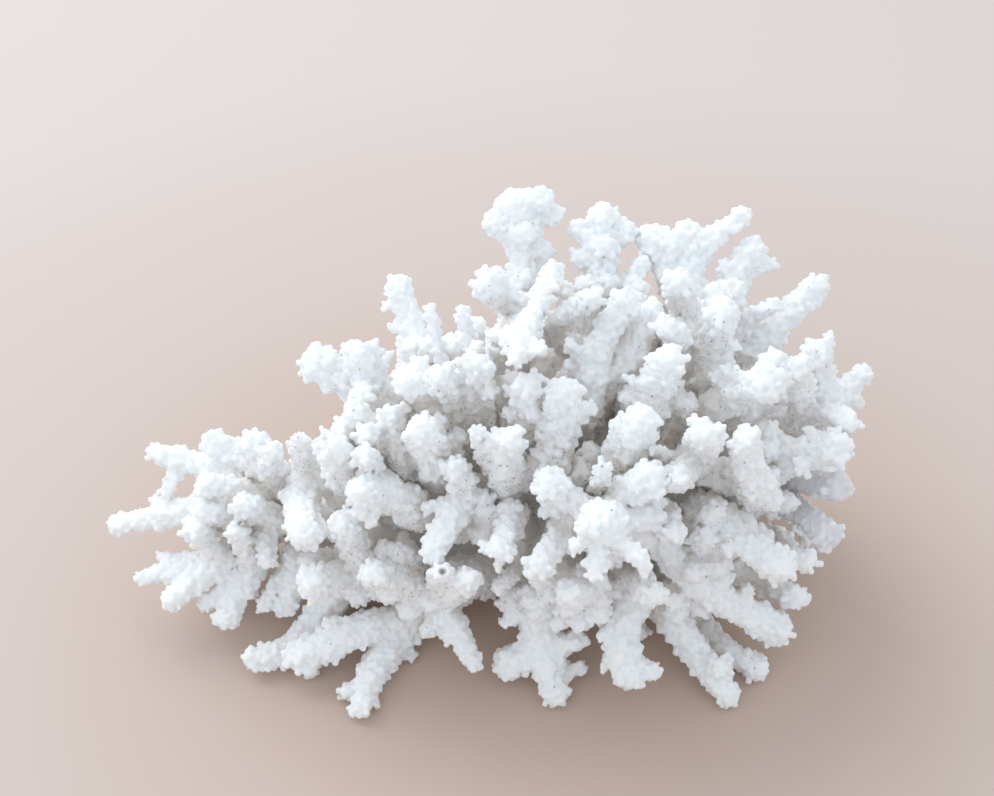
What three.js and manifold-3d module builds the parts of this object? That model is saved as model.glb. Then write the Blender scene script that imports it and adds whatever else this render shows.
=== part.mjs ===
import * as THREE from "three";
import { mergeVertices } from "three/addons/utils/BufferGeometryUtils.js";
import Module from "manifold-3d";

// White branching coral, one bushy colony cut off flat underneath.
// Millimetres, +Z up. The origin is the middle of the flat cut face that the
// coral rests on; +X is the long way, towards the tall end, and the low arm
// reaches out along -X.

// Driving dimensions
const GAP = 0.3;            // clear gap between neighbouring pieces
const SIDES_BRANCH = 5;     // facets round a branchlet
const SIDES_LIMB = 6;       // facets round a main limb
const TIP_ROUND = 0.75;     // length of the rounded tip, as a share of its radius
const RADIUS_SCALE = 0.95;  // facet corners against the radius over the cups
const STALK_SIDES = 12;     // facets round the base stalk
// Base stalk profile: height above the cut face, mean radius
const STALK = [[0, 19.5], [6, 18.2], [13, 17.6], [20, 16], [26, 11.5], [30, 5]];
// Uneven outline of the stalk, radius factor per facet corner
const STALK_OUTLINE = [1.04, 0.97, 0.92, 1.0, 1.08, 1.05, 0.96, 0.9, 0.98, 1.07, 1.1, 1.02];
const MERGE = 0.3;          // facets flatter than this are merged where pieces join
const FLOOR_CLEAR = 0.25;   // nothing but the cut face comes lower than this

// Limbs in the order in which they keep their full shape where two of them
// crowd together. Each row is x, y, z, radius from the root to the tip.
const LIMBS = [
  {
    name: "front_limb",
    path: [0,0,10,6.5,5.3,-8.8,20.5,6.1,8.9,-16.7,29.8,5.8,10.3,-21.9,37.3,5.4,10,-24,42,5.2],
    branches: [
      [10.2,-22.8,39.2,6.9,11,-36.4,45.2,6.6,7.9,-49.4,62,5.8,6.5,-58.6,69.8,5.1],
      [10.2,-22.8,39.2,4.5,-1.7,-45.2,53.4,3.2,-6.7,-56,55.3,2.6],
      [10.2,-22.8,39.2,4.5,2.6,-33.7,47.6,4.3,-1.4,-41.9,62,3.6,-4.6,-49.4,73.5,3],
      [10.2,-22.8,39.2,4.5,9.6,-38.5,45.6,4,12.4,-44.6,66,3.4,16.9,-49.7,75.2,2.8],
    ],
  },
  {
    name: "low_front_limb",
    path: [0,0,10,6.9,3.7,-14.3,13.3,6.5,4.2,-23,19.1,6.2,4,-27.9,23.8,5.9,4,-30,26,5.6],
    branches: [
      [4,-28.8,24.7,5.7,18.2,-31.8,24.6,5.5,14.5,-42,19.3,4.8,15.6,-51.1,14.5,4.1],
      [4,-28.8,24.7,4.5,17.1,-33.1,29.3,3.7,18.6,-45.7,37.7,3.2,19.5,-55.9,45.7,2.7],
      [4,-29.1,25.1,4.5,10.6,-33.2,26,3.7,4.6,-46.7,37.5,3.3,-0.2,-57.9,48.1,2.9],
      [4,-25.1,21.2,6.3,-5.2,-30.6,17.9,6,-4,-39.9,7.9,4.6,-1.4,-48.7,3.5,3.2],
      [-5.3,-34.4,13.8,4.3,-11.5,-33,20.4,3.7],
      [-4.6,-37.9,10,4.3,-13.3,-42.6,7.2,3.5],
    ],
  },
  {
    name: "lower_right_limb",
    path: [0,0,10,6.9,16,-8.7,13.2,6.4,26.3,-18,20.3,5.9,32.1,-24.1,26.5,5.5,34,-26,30,5.2],
    branches: [
      [32.9,-24.9,27.9,4.8,33.9,-27,46.2,4.6,41.5,-38.1,45.9,4.1,49,-46.8,46,3.7],
      [30.9,-22.9,24.9,4.5,53.3,-13.3,23.9,3.1,56.3,-25.7,30.6,2.9,58.1,-36.2,36.8,2.6],
      [26.3,-18,20.3,4.5,50.2,-16.8,12.9,3.4,55.1,-24.9,15.6,3.2,59,-30.9,19.3,3],
      [32.5,-24.5,27.2,4.5,33.4,-36.3,29.1,4,53.7,-35,12.4,4.3],
      [26.3,-18,20.3,5,26,-28.8,16.6,4.8,34.4,-39.6,7.6,3.9,41.2,-48.8,3.2,3],
      [16,-8.7,13.2,4.5,34.7,-21.8,4.1,3.7,42.3,-34,3.8,3.4,49.6,-40.5,3.4,3.1],
      [32.5,-24.5,27.2,4.5,23.1,-32.3,49.5,3.3,22.7,-43.4,57.3,2.9,22.6,-53.9,62.9,2.4],
    ],
  },
  {
    name: "front_left_limb",
    path: [0,0,10,6.9,-12.2,-12.4,11.5,6.5,-23.2,-21,17,6.2,-31.4,-25.3,21.8,5.9,-36,-26,24,5.6],
    branches: [
      [-29.3,-24.6,20.7,5.1,-31.2,-27.8,16.7,4.8,-26.5,-36.1,14.7,3.9,-22.2,-44.8,11.2,3],
      [-28,-24,20,4.5,-30.5,-27.5,15.4,3.8,-26,-40.7,32.6,3.4,-22.6,-52.3,47.1,2.9],
      [-29.3,-24.6,20.7,4.5,-30.4,-28,18.1,3,-29.3,-41,35.6,2.8,-28.3,-53.2,50.3,2.5],
      [-32.4,-25.5,22.2,5,-34.2,-28.4,19.2,4.8,-39.9,-37.4,32.9,4,-44.4,-46.6,43,3.2],
      [-31.4,-25.3,21.8,5.1,-38,-26.7,8.7,4.9,-53,-35.6,10.9,4.5,-65.2,-41,8.7,4.1],
      [-23.2,-21,17,5.2,-39.8,-28.5,5.4,5,-46.4,-41.1,4.4,4,-49.4,-52.2,3.2,3],
    ],
  },
  {
    name: "left_front_limb",
    path: [0,0,10,6.5,-28.8,-5.3,20.6,5.9,-43.4,-8.7,28.8,5.5,-51,-10.9,33.9,5.1,-54,-12,36,4.7],
    branches: [
      [-43.4,-8.7,28.8,5,-35.6,-29.7,48.3,4.8,-40.8,-34.5,56.9,4.3,-46.1,-40.2,62.6,3.8],
      [-53.3,-11.8,35.5,5.1,-62,-3.5,41.2,4.9,-63,-23.3,45.1,4.2,-60.7,-39.2,49.2,3.5],
      [-53.3,-11.8,35.5,4.5,-61.2,-7.9,38.9,3.6,-62.9,-16.6,52.2,2.8,-62.5,-23.6,64.4,2.1],
      [-52.7,-11.5,35.1,4.6,-52.6,-28.9,61.2,3.9,-52.5,-33.2,69.4,3.4],
      [-52.7,-11.5,35.1,4.5,-43.5,-26.2,48.5,3.4,-44.9,-31.7,62.1,3,-45.5,-35.9,69.9,2.7],
    ],
  },
  {
    name: "left_arm",
    path: [0,0,10,7.3,-33.9,-3.7,15.2,6.7,-53.8,-4.2,19.9,6.1,-70.4,-4,23.6,5.6,-84,-4,26,5.2],
    branches: [
      [-81.3,-4,25.5,4.5,-82.4,-13.7,34.7,4.3,-100,-11.8,30.2,3.5,-114.6,-11.1,25,2.6],
      [-78.5,-4,25,4.5,-78.8,-9.4,38.7,4.1,-93.2,-5.2,41.4,3.3,-103.5,-2.5,42.5,2.6],
      [-70.4,-4,23.6,4.5,-72.3,-9.5,40.1,4.1,-79.6,-7.6,45.2,3.4,-86.7,-6.3,49,2.8],
      [-67.6,-4,23.1,4.8,-73.7,-12.3,47.9,4,-75.1,-14.5,54.9,3.4],
      [-67.6,-4,23.1,4.5,-71.7,-16,50.1,3.1,-69.6,-21.5,58.9,2.6],
      [-81.3,-4,25.5,4.7,-84.3,-15.1,16.7,4.4,-95.4,-18.2,17.9,3.4,-106.6,-22.3,17.3,2.3],
      [-78.5,-4,25,4.7,-81.7,-15.1,16.7,4.4,-91.2,-20.5,17.6,3.7,-98.4,-27.8,15,3.1],
      [-81.3,-4,25.5,4.5,-84.3,-15.1,16.7,3.7,-87.4,-21.7,27.4,3.2,-89.7,-26.5,37.8,2.7],
      [-73.1,-4,24.1,4.5,-78.3,-15.1,16.7,3.4,-78.5,-23.2,28.1,2.9,-78.9,-29,39.5,2.4],
      [-70.4,-4,23.6,4.5,-72.9,-16.8,32.4,3,-73.4,-24.5,32.2,2.7,-72.3,-31,32,2.4],
      [-75.8,-4,24.6,4.5,-87.1,-22.4,12.3,2.7,-91.3,-25,10.5,2.3],
      [-73.1,-4,24.1,4.5,-83.4,-23.8,11.5,3.2,-85.3,-28.3,9.6,2.8],
      [-64.8,-4,22.6,4.5,-74.3,-21.8,11.6,2.5,-76.4,-25.3,10.1,2.1],
      [-62,-4,22,4.5,-67.8,-14.7,21.1,3.4,-68.9,-20,14.3,3.1,-70.8,-24.6,9.4,2.8],
      [-75.8,-4,24.6,4.5,-75.4,-13.7,36.4,4,-81.9,-16.5,42.3,3.6,-86.8,-19.7,46.5,3.2],
      [-75.8,-4,24.6,4.5,-77.4,-16,31.7,3.8,-82.9,-20.4,37.5,3.4,-87.3,-24.4,42.2,2.9],
      [-67.6,-4,23.1,4.5,-74.1,-21.5,39.5,3.3,-77,-25.5,45.6,2.9],
      [-75.8,-4,24.6,4.6,-84,5.7,14.4,3.4,-86.9,8.7,11.6,2.7],
      [-84,-4,26,4.6,-94.7,0.1,14,3.4,-98.2,1.5,10.6,2.7],
      [-73.1,-4,24.1,4.6,-78.9,-8.8,12.6,3.4,-80.9,-10.1,9.2,2.7],
    ],
  },
  {
    name: "mid_low_limb",
    path: [0,0,10,6,-7.1,-8.9,20.5,5.6,-12.1,-14.1,29.9,5.3,-15,-17.6,36.7,5,-16,-20,40,4.7],
    branches: [
      [-15.4,-18.6,38,5,-20,-25.2,49.3,4.8,-25.7,-36.9,53.8,3.9,-30.5,-47.7,51.4,2.9],
      [-15.4,-18.6,38,4.5,-13.5,-42.4,53.8,2.9,-15.3,-53.4,57,2.4],
      [-15.6,-19,38.6,4.5,-21.5,-27.9,46.1,3.4,-24,-34.5,61.5,3,-25.4,-39.8,69.7,2.7],
    ],
  },
  {
    name: "right_limb",
    path: [0,0,10,6.5,17.8,0.3,18.5,5.9,29.6,-3.6,30.3,5.5,36.8,-7.6,39.6,5.1,40,-10,44,4.7],
    branches: [
      [38.1,-8.6,41.4,4.7,30.2,-34.4,71.9,3.9,28.4,-44.6,82.9,3.2],
      [37.5,-8.1,40.5,4.5,33.8,-15,64.9,3.8,40.6,-20.8,76.5,4.2,43.6,-28.2,84.4,4.5],
      [38.7,-9,42.2,5.5,45,-17.3,38.2,5.2,41.5,-29.8,60.4,4,38.5,-41.8,78.4,2.8],
      [43.7,-21.9,46.9,4.4,44.7,-28.1,51.4,3.8],
      [39.3,-9.5,43.1,4.7,46.4,-15.1,44.4,4.5,57,-19.4,56.2,4.1,63.8,-25.2,63.9,3.7],
      [37.5,-8.1,40.5,4.5,26.2,-37.6,66.7,3.2,22.7,-48.6,74.2,2.8],
    ],
  },
  {
    name: "upper_right_limb",
    path: [0,0,10,6,8.9,2,25.8,5.6,14.2,-0.4,39.7,5.3,17,-2.9,50.9,5,18,-4,58,4.7],
    branches: [
      [17.4,-3.3,53.8,4.9,17.7,-21.5,67.4,4.7,19.2,-24.4,79.9,4.1,22.2,-27.4,90.3,3.5],
      [17,-2.9,50.9,5.2,13.8,-30.4,59,4.9,13.5,-35.4,70.7,4.5,15,-40.5,83,4.1],
      [16.4,-2.3,47.8,4.5,7.9,-37.8,61.4,2.4,6.6,-48,76.9,1.9],
    ],
  },
  {
    name: "top_limb",
    path: [0,0,10,6.9,5.3,8.8,21.9,6.3,8.7,16.5,37.8,5.7,10.9,22.5,52.4,5.2,12,26,62,4.7],
    branches: [
      [8.2,15.2,34.9,4.7,5,-17.9,71.4,4.5,7.3,-14.8,84.1,3.7,12.9,-11.6,95.9,3],
      [9.2,17.8,40.7,4.5,9.1,-13.3,73.7,4,15.5,-12,82,3.6,19.4,-9.2,90.9,3.2],
      [10.6,21.8,50.4,4.5,8.7,-1.9,75.8,3.6,12.9,-6.7,86.3,3.2,13.8,-12.5,94.8,2.7],
      [11.3,23.9,56.3,5.4,10.4,24.5,77.1,5.1,10.3,29.7,86.4,4,11,32.3,92,2.8],
      [10.9,22.5,52.4,4.5,-1.5,7.6,73.4,3.2,0.8,-3.8,86.6,2.9,5.4,-14,97.7,2.5],
      [12,26,62,4.6,11.5,38.4,71.4,3.4,11.3,42.2,74.2,2.7],
    ],
  },
  {
    name: "top_right_limb",
    path: [0,0,10,6.9,14.1,12.4,20.1,6.3,25.4,20.9,34.6,5.7,32.8,25.9,47.7,5.2,36,28,56,4.7],
    branches: [
      [34.1,26.8,51,5.1,31.3,20.8,74,4.9,27.7,25.4,80.8,4.2,23.5,29.7,87,3.6],
      [34.1,26.8,51,4.8,33.4,20.8,74,4.6,32.6,25.4,82.6,4.1,32.4,28.6,88.9,3.6],
      [34.1,26.8,51,4.5,31.8,23.2,77,3.3,36.7,26.7,86.8,2.7,45.6,28.7,93.8,2],
      [34.1,26.8,51,4.8,37.2,17.7,70,4.6,44.4,22,79.9,3.8,48.6,24.7,87.2,3],
      [34.1,26.8,51,4.5,48.3,11.6,65.5,4.3,58,15,74.3,3.7,64.2,17.1,80.7,3],
      [34.7,27.1,52.6,4.5,29.1,4.8,83.3,3.5,25.7,-5.8,96.9,3],
      [32.8,25.9,47.7,5.1,37.2,-6.4,66.1,4.9,34.5,-8.4,83.8,4.3,35.5,-12.1,92,3.7],
      [33.5,26.4,49.4,4.5,29.7,10.2,73.4,3.5,27.1,-8.6,82.5,3.1,21.5,-20.3,94.5,2.7],
      [34.1,26.8,51,4.5,42.9,12.9,65.5,3.1,47.4,11.8,74.6,2.6,52.5,9.1,80.1,2.2],
      [35.3,27.5,54.3,4.6,35.7,41.9,55.9,3.4,35.5,46.3,56.2,2.7],
    ],
  },
  {
    name: "crown_limb",
    path: [0,0,10,7.7,-5.2,12.4,16.1,7,-10.3,20.7,34.5,6.3,-11.8,26.5,53.3,5.7,-10,30,66,5.2],
    branches: [
      [-10.7,28.6,60.9,4.5,-8,21.4,69.9,3.9,-9.1,26.1,82.1,4.7,-10.7,31.2,93.8,5.6],
      [-10.7,28.6,60.9,4.5,-8.8,20.9,69.3,3.9,-14,9,81.9,3.7,-18.1,-1,93.2,3.5],
      [-11.8,26.5,53.3,4.5,-14,12,69.3,3.8,-8,4.2,83.7,3.2,-3,-1.5,97.4,2.6],
      [-10.7,28.6,60.9,6,-10.1,-7.2,83,5,-11,-30.1,96.6,4.3],
    ],
  },
  {
    name: "upper_left_limb",
    path: [0,0,10,6.9,-14,3.4,14.7,6.3,-26.6,7.8,26.7,5.7,-35.6,11.6,40.8,5.2,-40,14,52,4.7],
    branches: [
      [-35.6,11.6,40.8,4.6,-33.4,-4.9,61.8,4.4,-36.1,11.7,66.4,3.7,-41.5,22,77.2,3.1],
      [-35.6,11.6,40.8,4.9,-43.4,-7.5,62.2,4.7,-51.8,-5.7,67.9,4.4,-59.3,-4.2,72.8,4.1],
      [-35.6,11.6,40.8,5.1,-43,-7.9,63,4.9,-46.5,-8.5,71.2,4,-48.9,-9.1,77.9,3.1],
    ],
  },
  {
    name: "upper_mid_limb",
    path: [0,0,10,6.5,-8.8,5.4,20.1,5.9,-16.7,7.4,34.4,5.5,-21.9,8.8,48.3,5.1,-24,10,58,4.7],
    branches: [
      [-21.9,8.8,48.3,4.6,-23.6,-12.6,61.8,4.4,-30.5,-17.6,74,4,-35.5,-24.2,81.4,3.6],
      [-21.9,8.8,48.3,4.6,-22.2,-13.1,62,4.4,-25.7,-21.1,75.8,3.8,-28.6,-28.9,86.7,3.3],
      [-21.9,8.8,48.3,4.5,-20.5,-14.9,63.2,4.1,-20.6,-21.6,77.7,3.6,-20.6,-28.1,89.4,3.1],
    ],
  },
  {
    name: "mid_limb",
    path: [0,0,10,6.5,-5.4,0.1,23.8,5.9,-7.6,-1.2,38.8,5.5,-8.1,-2.8,51.7,5.1,-8,-4,60,4.7],
    branches: [
      [-8.1,-2.2,48,4.5,-14.7,-25.6,56.1,2.9,-18.7,-33.2,66.5,2.3,-20.4,-38.6,79.2,1.8],
      [-8,-2,46,4.7,-11.6,-26.4,55.1,4.5,-13.5,-35.4,67.7,3.9,-12.3,-42.5,80.7,3.2],
      [-8.1,-3,53.4,4.7,-8.7,-22.1,64.6,4.5,-9.2,-27.4,77,3.8,-9.2,-32.3,87.3,3.1],
      [-8.1,-2.5,49.9,4.9,-4.6,-28.6,59.2,4.7,-1.8,-32,74.3,4.2,-1.6,-35.2,86.8,3.7],
    ],
  },
  {
    name: "left_upper_limb",
    path: [0,0,10,6.5,-19.6,-1.8,14.7,5.9,-31.7,-3.2,27.2,5.5,-38.8,-4.8,38.9,5.1,-42,-6,46,4.7],
    branches: [
      [-40.1,-5.2,41.8,4.5,-40.5,-20.4,57,3.8,-44.7,-21.3,65.5,3.3,-48.9,-22.7,72.4,2.8],
      [-40.1,-5.2,41.8,4.5,-42.7,-20.8,55.9,3.8,-48,-21.9,61.5,3.3,-51.7,-24.8,68.7,2.8],
      [-40.1,-5.2,41.8,4.5,-38.1,-23.4,53.9,3.3,-39.8,-26.3,65.1,2.8,-40.6,-27.5,75.6,2.3],
      [-40.1,-5.2,41.8,4.5,-44.8,-25,63.5,3,-45.6,-30.2,71.7,2.7],
      [-39.5,-5,40.4,6,-30.4,-22.4,54.8,5.7,-30.1,-29.3,65.6,4.9,-32.3,-34.8,76,4],
    ],
  },
  {
    name: "right_back_limb",
    path: [0,0,10,6.9,19.4,7.2,15,6.3,33.7,11.1,23.5,5.7,45.5,11.7,31.3,5.2,54,10,36,4.7],
    branches: [
      [47.2,11.4,32.2,5.3,64.7,-3.5,52.6,5,63.1,-3.8,67,4.2,60.3,-6,77.1,3.3],
      [48.9,11,33.2,4.5,64,-4.3,51.6,3.8,70,-0.2,58.6,3.3,75.2,2.8,63.9,2.8],
      [48.9,11,33.2,4.5,60.4,-2,53,4,56.9,-10.1,68.8,3.5,53.4,-18,81.3,3],
      [48.9,11,33.2,4.5,62.9,-9.2,61.3,3.2,67.2,-18.8,65.6,2.8],
      [48.9,11,33.2,4.5,62.6,-17.1,45.2,3.7,67.5,-23.5,49.9,3.9],
      [48.9,11,33.2,4.5,59.4,-21.7,38.7,3.8,63.6,-32.1,40.5,4.1],
      [54,10,36,4.6,68.1,14,37.1,3.4,72.3,15.1,37.7,2.7],
      [54,10,36,4.6,64.1,18.6,44.7,3.4,66.8,21.2,47.9,2.7],
      [48.9,11,33.2,4.6,62.8,16.6,24.6,3.4,66.8,18.1,21.7,2.7],
    ],
  },
  {
    name: "low_left_limb",
    path: [0,0,10,6.5,-30.6,-10.8,11.7,6.1,-45.2,-16.3,14.6,5.8,-54.2,-19,16.9,5.4,-60,-20,18,5.2],
    branches: [
      [-54.2,-19,16.9,4.9,-63.5,-28.5,4.9,4.7,-69.3,-35.5,4.1,3.9,-77.3,-38.9,5.7,3],
      [-48.4,-17.5,15.6,4.8,-47.7,-24.6,20.7,4.6,-55.2,-32.3,27.5,4.1,-59.9,-39.3,32.8,3.6],
      [-46.8,-16.9,15.1,4.8,-45.7,-24.9,17.5,4.6,-49.4,-31.1,34.2,4,-51.4,-37.9,50.6,3.5],
    ],
  },
  {
    name: "back_limb",
    path: [0,0,10,6.9,-1.7,17.9,11.3,6.4,-4.6,28.4,19.4,5.9,-6.9,34.1,27.3,5.5,-8,36,32,5.2],
    branches: [
      [-6,32,24,4.6,-24,40.7,24.2,3.4,-30.1,42.5,24.7,2.7],
      [-8,36,32,4.6,-16.4,44.1,37.5,3.4,-19.2,46.1,39.7,2.7],
      [-8,36,32,4.6,-10.2,47.2,30.5,3.4,-10.8,50.5,30.1,2.7],
      [-3.4,25.4,15.9,4.6,-7.2,42.5,12.1,3.4,-8.3,47.7,11.1,2.7],
      [-8,36,32,4.6,-5.4,50.5,38.6,3.4,-4.2,54.7,41.2,2.7],
    ],
  },
  {
    name: "back_right_limb",
    path: [0,0,10,6.9,21.5,19.9,11.3,6.4,33.9,28.1,19.5,5.9,40.2,31.2,26.7,5.5,42,32,30,5.2],
    branches: [
      [32.2,27.2,17.8,4.6,38.5,39.1,15.4,3.4,40.4,42.6,14.8,2.7],
      [42,32,30,4.6,57.8,32.7,37.6,3.4,62.7,31.9,40.7,2.7],
      [26.3,23.7,13.1,4.6,25.7,41.6,14.2,3.4,25.1,47,15.1,2.7],
      [42,32,30,4.6,38.3,43.6,38.7,3.4,36.4,46.8,42.1,2.7],
      [38,30,24,4.6,55.6,29.3,17.5,3.4,61.2,28,15.5,2.7],
      [42,32,30,4.6,45.7,42,33.3,3.4,46.6,45,34.7,2.7],
      [42,32,30,4.6,55.3,32.6,28.8,3.4,59.6,31.9,28.5,2.7],
    ],
  },
  {
    name: "back_left_limb",
    path: [0,0,10,6.5,-25.2,9,11.4,6.1,-37.8,12.9,18.2,5.8,-45.4,14.9,24.5,5.4,-50,16,28,5.2],
    branches: [
      [-48.1,15.5,26.6,4.6,-52.5,26.9,24.7,3.4,-53.7,30.3,24.1,2.7],
      [-43.3,14.3,22.9,4.6,-60.5,18,12.3,3.4,-65.8,18.3,8.7,2.7],
      [-50,16,28,4.6,-54.4,26.5,36.7,3.4,-55.5,29.4,40.1,2.7],
      [-32.6,11.5,14,4.6,-47.3,24.3,10.5,3.4,-52.3,27.8,9.6,2.7],
    ],
  },
];

const CORAL_WHITE = 0xf1efec;
const CORAL_SHADE = 0xe6e2dd;
const STALK_CREAM = 0xe2dbd0;

const wasm = await Module();
wasm.setup();

function solidOf(geometry) {
  const g = geometry.clone();
  g.deleteAttribute("normal");
  if (g.attributes.uv) g.deleteAttribute("uv");
  const m = mergeVertices(g, 1e-4);
  // drop the collapsed facets at the two poles
  const src = m.index.array;
  const tri = [];
  for (let i = 0; i < src.length; i += 3) {
    const a = src[i], b = src[i + 1], c = src[i + 2];
    if (a !== b && b !== c && a !== c) tri.push(a, b, c);
  }
  return new wasm.Manifold(new wasm.Mesh({
    numProp: 3,
    vertProperties: new Float32Array(m.attributes.position.array),
    triVerts: new Uint32Array(tri),
  }));
}

function meshGeometry(solid) {
  const out = solid.getMesh();
  const g = new THREE.BufferGeometry();
  const p = new Float32Array(out.numVert * 3);
  for (let i = 0; i < out.numVert; i++)
    for (let k = 0; k < 3; k++) p[3 * i + k] = out.vertProperties[i * out.numProp + k];
  g.setAttribute("position", new THREE.BufferAttribute(p, 3));
  g.setIndex(new THREE.BufferAttribute(new Uint32Array(out.triVerts), 1));
  return g;
}

// A tapered tube with a rounded tip. A lathed profile is bent on to the row's
// points, so every facet ring stands square to the run of the branch.
function branch(row, sides, grow) {
  const pts = [], rad = [];
  for (let i = 0; i < row.length; i += 4) {
    pts.push(new THREE.Vector3(row[i], row[i + 1], row[i + 2]));
    rad.push(row[i + 3] * RADIUS_SCALE + grow);
  }
  const n = pts.length;
  const dirs = pts.map((p, i) => {
    const a = pts[Math.max(0, i - 1)], b = pts[Math.min(n - 1, i + 1)];
    return new THREE.Vector3().subVectors(b, a).normalize();
  });
  const end = pts[n - 1].clone();
  const last = dirs[n - 1];
  // the last point is the middle of the rounded tip
  const nose = end.clone().addScaledVector(last, rad[n - 1] * TIP_ROUND);
  const rows = pts;
  const profile = [new THREE.Vector2(0, 0)];
  rows.forEach((p, i) => profile.push(new THREE.Vector2(rad[i], i + 1)));
  profile.push(new THREE.Vector2(0, n + 1));
  const lathe = new THREE.LatheGeometry(profile, sides);
  const pos = lathe.attributes.position;
  let side = new THREE.Vector3(0, 0, 1).cross(dirs[0]);
  if (side.lengthSq() < 1e-3) side.set(1, 0, 0);
  side.normalize();
  const sidesAt = dirs.map((d) => {
    side.addScaledVector(d, -side.dot(d)).normalize();
    return side.clone();
  });
  const v = new THREE.Vector3();
  for (let i = 0; i < pos.count; i++) {
    v.fromBufferAttribute(pos, i);
    const k = Math.round(v.y);
    let o, d, s;
    if (k === 0) { o = rows[0].clone().addScaledVector(dirs[0], -grow); d = dirs[0]; s = sidesAt[0]; }
    else if (k === n + 1) { o = nose.clone().addScaledVector(last, grow); d = last; s = sidesAt[n - 1]; }
    else {
      o = rows[k - 1].clone();
      if (k === 1) o.addScaledVector(dirs[0], -grow);
      d = dirs[k - 1]; s = sidesAt[k - 1];
    }
    const t = new THREE.Vector3().crossVectors(d, s);
    o.addScaledVector(s, v.x).addScaledVector(t, v.z);
    if (k === 0 || k === n + 1) o.setZ(Math.max(o.z, FLOOR_CLEAR));
    pos.setXYZ(i, o.x, o.y, Math.max(o.z, FLOOR_CLEAR));
  }
  let s = solidOf(lathe);
  if (s.volume() < 0) {
    const idx = lathe.index.array;
    for (let i = 0; i < idx.length; i += 3) { const q = idx[i]; idx[i] = idx[i + 1]; idx[i + 1] = q; }
    s = solidOf(lathe);
  }
  return s;
}

function limbSolid(limb, grow) {
  let s = branch(limb.path, SIDES_LIMB, grow);
  for (const row of limb.branches) s = s.add(branch(row, SIDES_BRANCH, grow));
  return s;
}

function stalkSolid(grow) {
  const profile = [new THREE.Vector2(0, 0)];
  STALK.forEach(([h, r], i) => profile.push(new THREE.Vector2(r + grow, h)));
  profile.push(new THREE.Vector2(0, STALK[STALK.length - 1][0] + 1.2 + grow));
  const lathe = new THREE.LatheGeometry(profile, STALK_SIDES);
  const pos = lathe.attributes.position;
  for (let i = 0; i < pos.count; i++) {
    const x = pos.getX(i), h = pos.getY(i), z = pos.getZ(i);
    const a = (Math.atan2(z, x) / (2 * Math.PI)) * STALK_SIDES;
    const f = STALK_OUTLINE[((Math.round(a) % STALK_SIDES) + STALK_SIDES) % STALK_SIDES];
    // +90 degrees about X, so that the profile's height runs up +Z
    pos.setXYZ(i, x * f, -z * f, h);
  }
  return solidOf(lathe);
}

function mesh(name, geometry, colour) {
  geometry.computeVertexNormals();
  const m = new THREE.Mesh(geometry, new THREE.MeshStandardMaterial({
    color: colour, roughness: 0.85, metalness: 0, flatShading: true,
  }));
  m.name = name;
  return m;
}

const coral = new THREE.Group();
coral.add(mesh("base_stalk", meshGeometry(stalkSolid(0)), STALK_CREAM));
// What is already taken, grown by the gap on every side
let taken = stalkSolid(GAP * 1.3);
LIMBS.forEach((limb, i) => {
  const cut = limbSolid(limb, 0).simplify(MERGE).subtract(taken).simplify(MERGE / 6);
  const bodies = cut.decompose().sort((a, b) => b.volume() - a.volume());
  coral.add(mesh(limb.name, meshGeometry(bodies[0]), i % 2 ? CORAL_SHADE : CORAL_WHITE));
  taken = taken.add(limbSolid(limb, GAP * 1.3));
});

export default coral;
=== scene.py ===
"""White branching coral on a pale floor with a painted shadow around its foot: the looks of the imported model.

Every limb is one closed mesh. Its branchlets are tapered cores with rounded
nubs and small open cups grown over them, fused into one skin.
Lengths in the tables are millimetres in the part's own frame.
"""
import math

import bpy
import numpy as np
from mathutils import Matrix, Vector
from mathutils.kdtree import KDTree


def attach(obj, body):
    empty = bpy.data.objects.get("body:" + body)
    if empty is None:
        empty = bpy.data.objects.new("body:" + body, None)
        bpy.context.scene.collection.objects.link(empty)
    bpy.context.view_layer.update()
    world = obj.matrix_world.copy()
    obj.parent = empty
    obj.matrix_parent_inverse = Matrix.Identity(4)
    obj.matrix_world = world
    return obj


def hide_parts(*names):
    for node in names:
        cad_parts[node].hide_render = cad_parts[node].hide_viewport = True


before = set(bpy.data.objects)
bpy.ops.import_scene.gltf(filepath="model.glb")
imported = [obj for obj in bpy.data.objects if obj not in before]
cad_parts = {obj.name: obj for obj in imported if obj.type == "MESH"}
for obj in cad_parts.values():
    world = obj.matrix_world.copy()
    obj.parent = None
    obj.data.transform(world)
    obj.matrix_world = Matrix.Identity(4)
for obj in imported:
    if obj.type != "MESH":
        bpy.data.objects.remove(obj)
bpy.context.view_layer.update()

# ---------------------------------------------------------------- dimensions
NUB_R = 0.64          # radius of a worn, rounded nub
NUB_H = 1.26          # how far it stands out of the core
NUB_STEP = 1.54       # distance between neighbouring nubs
LOBES = 0.20          # share of nubs grown out into small lobes
CUP_R = 0.64          # outer radius of a sheltered cup that kept its rim
MOUTH_R = 0.29        # radius of its mouth
MOUTH_DEEP = 0.9      # depth of its mouth
VOXEL = 0.34          # finest detail of the fused skin
TRIANGLES = 960000    # all limbs together, after thinning
FLOOR_CLEAR = 0.3     # nothing but the stalk's cut face comes lower
SEED = 41

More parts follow.
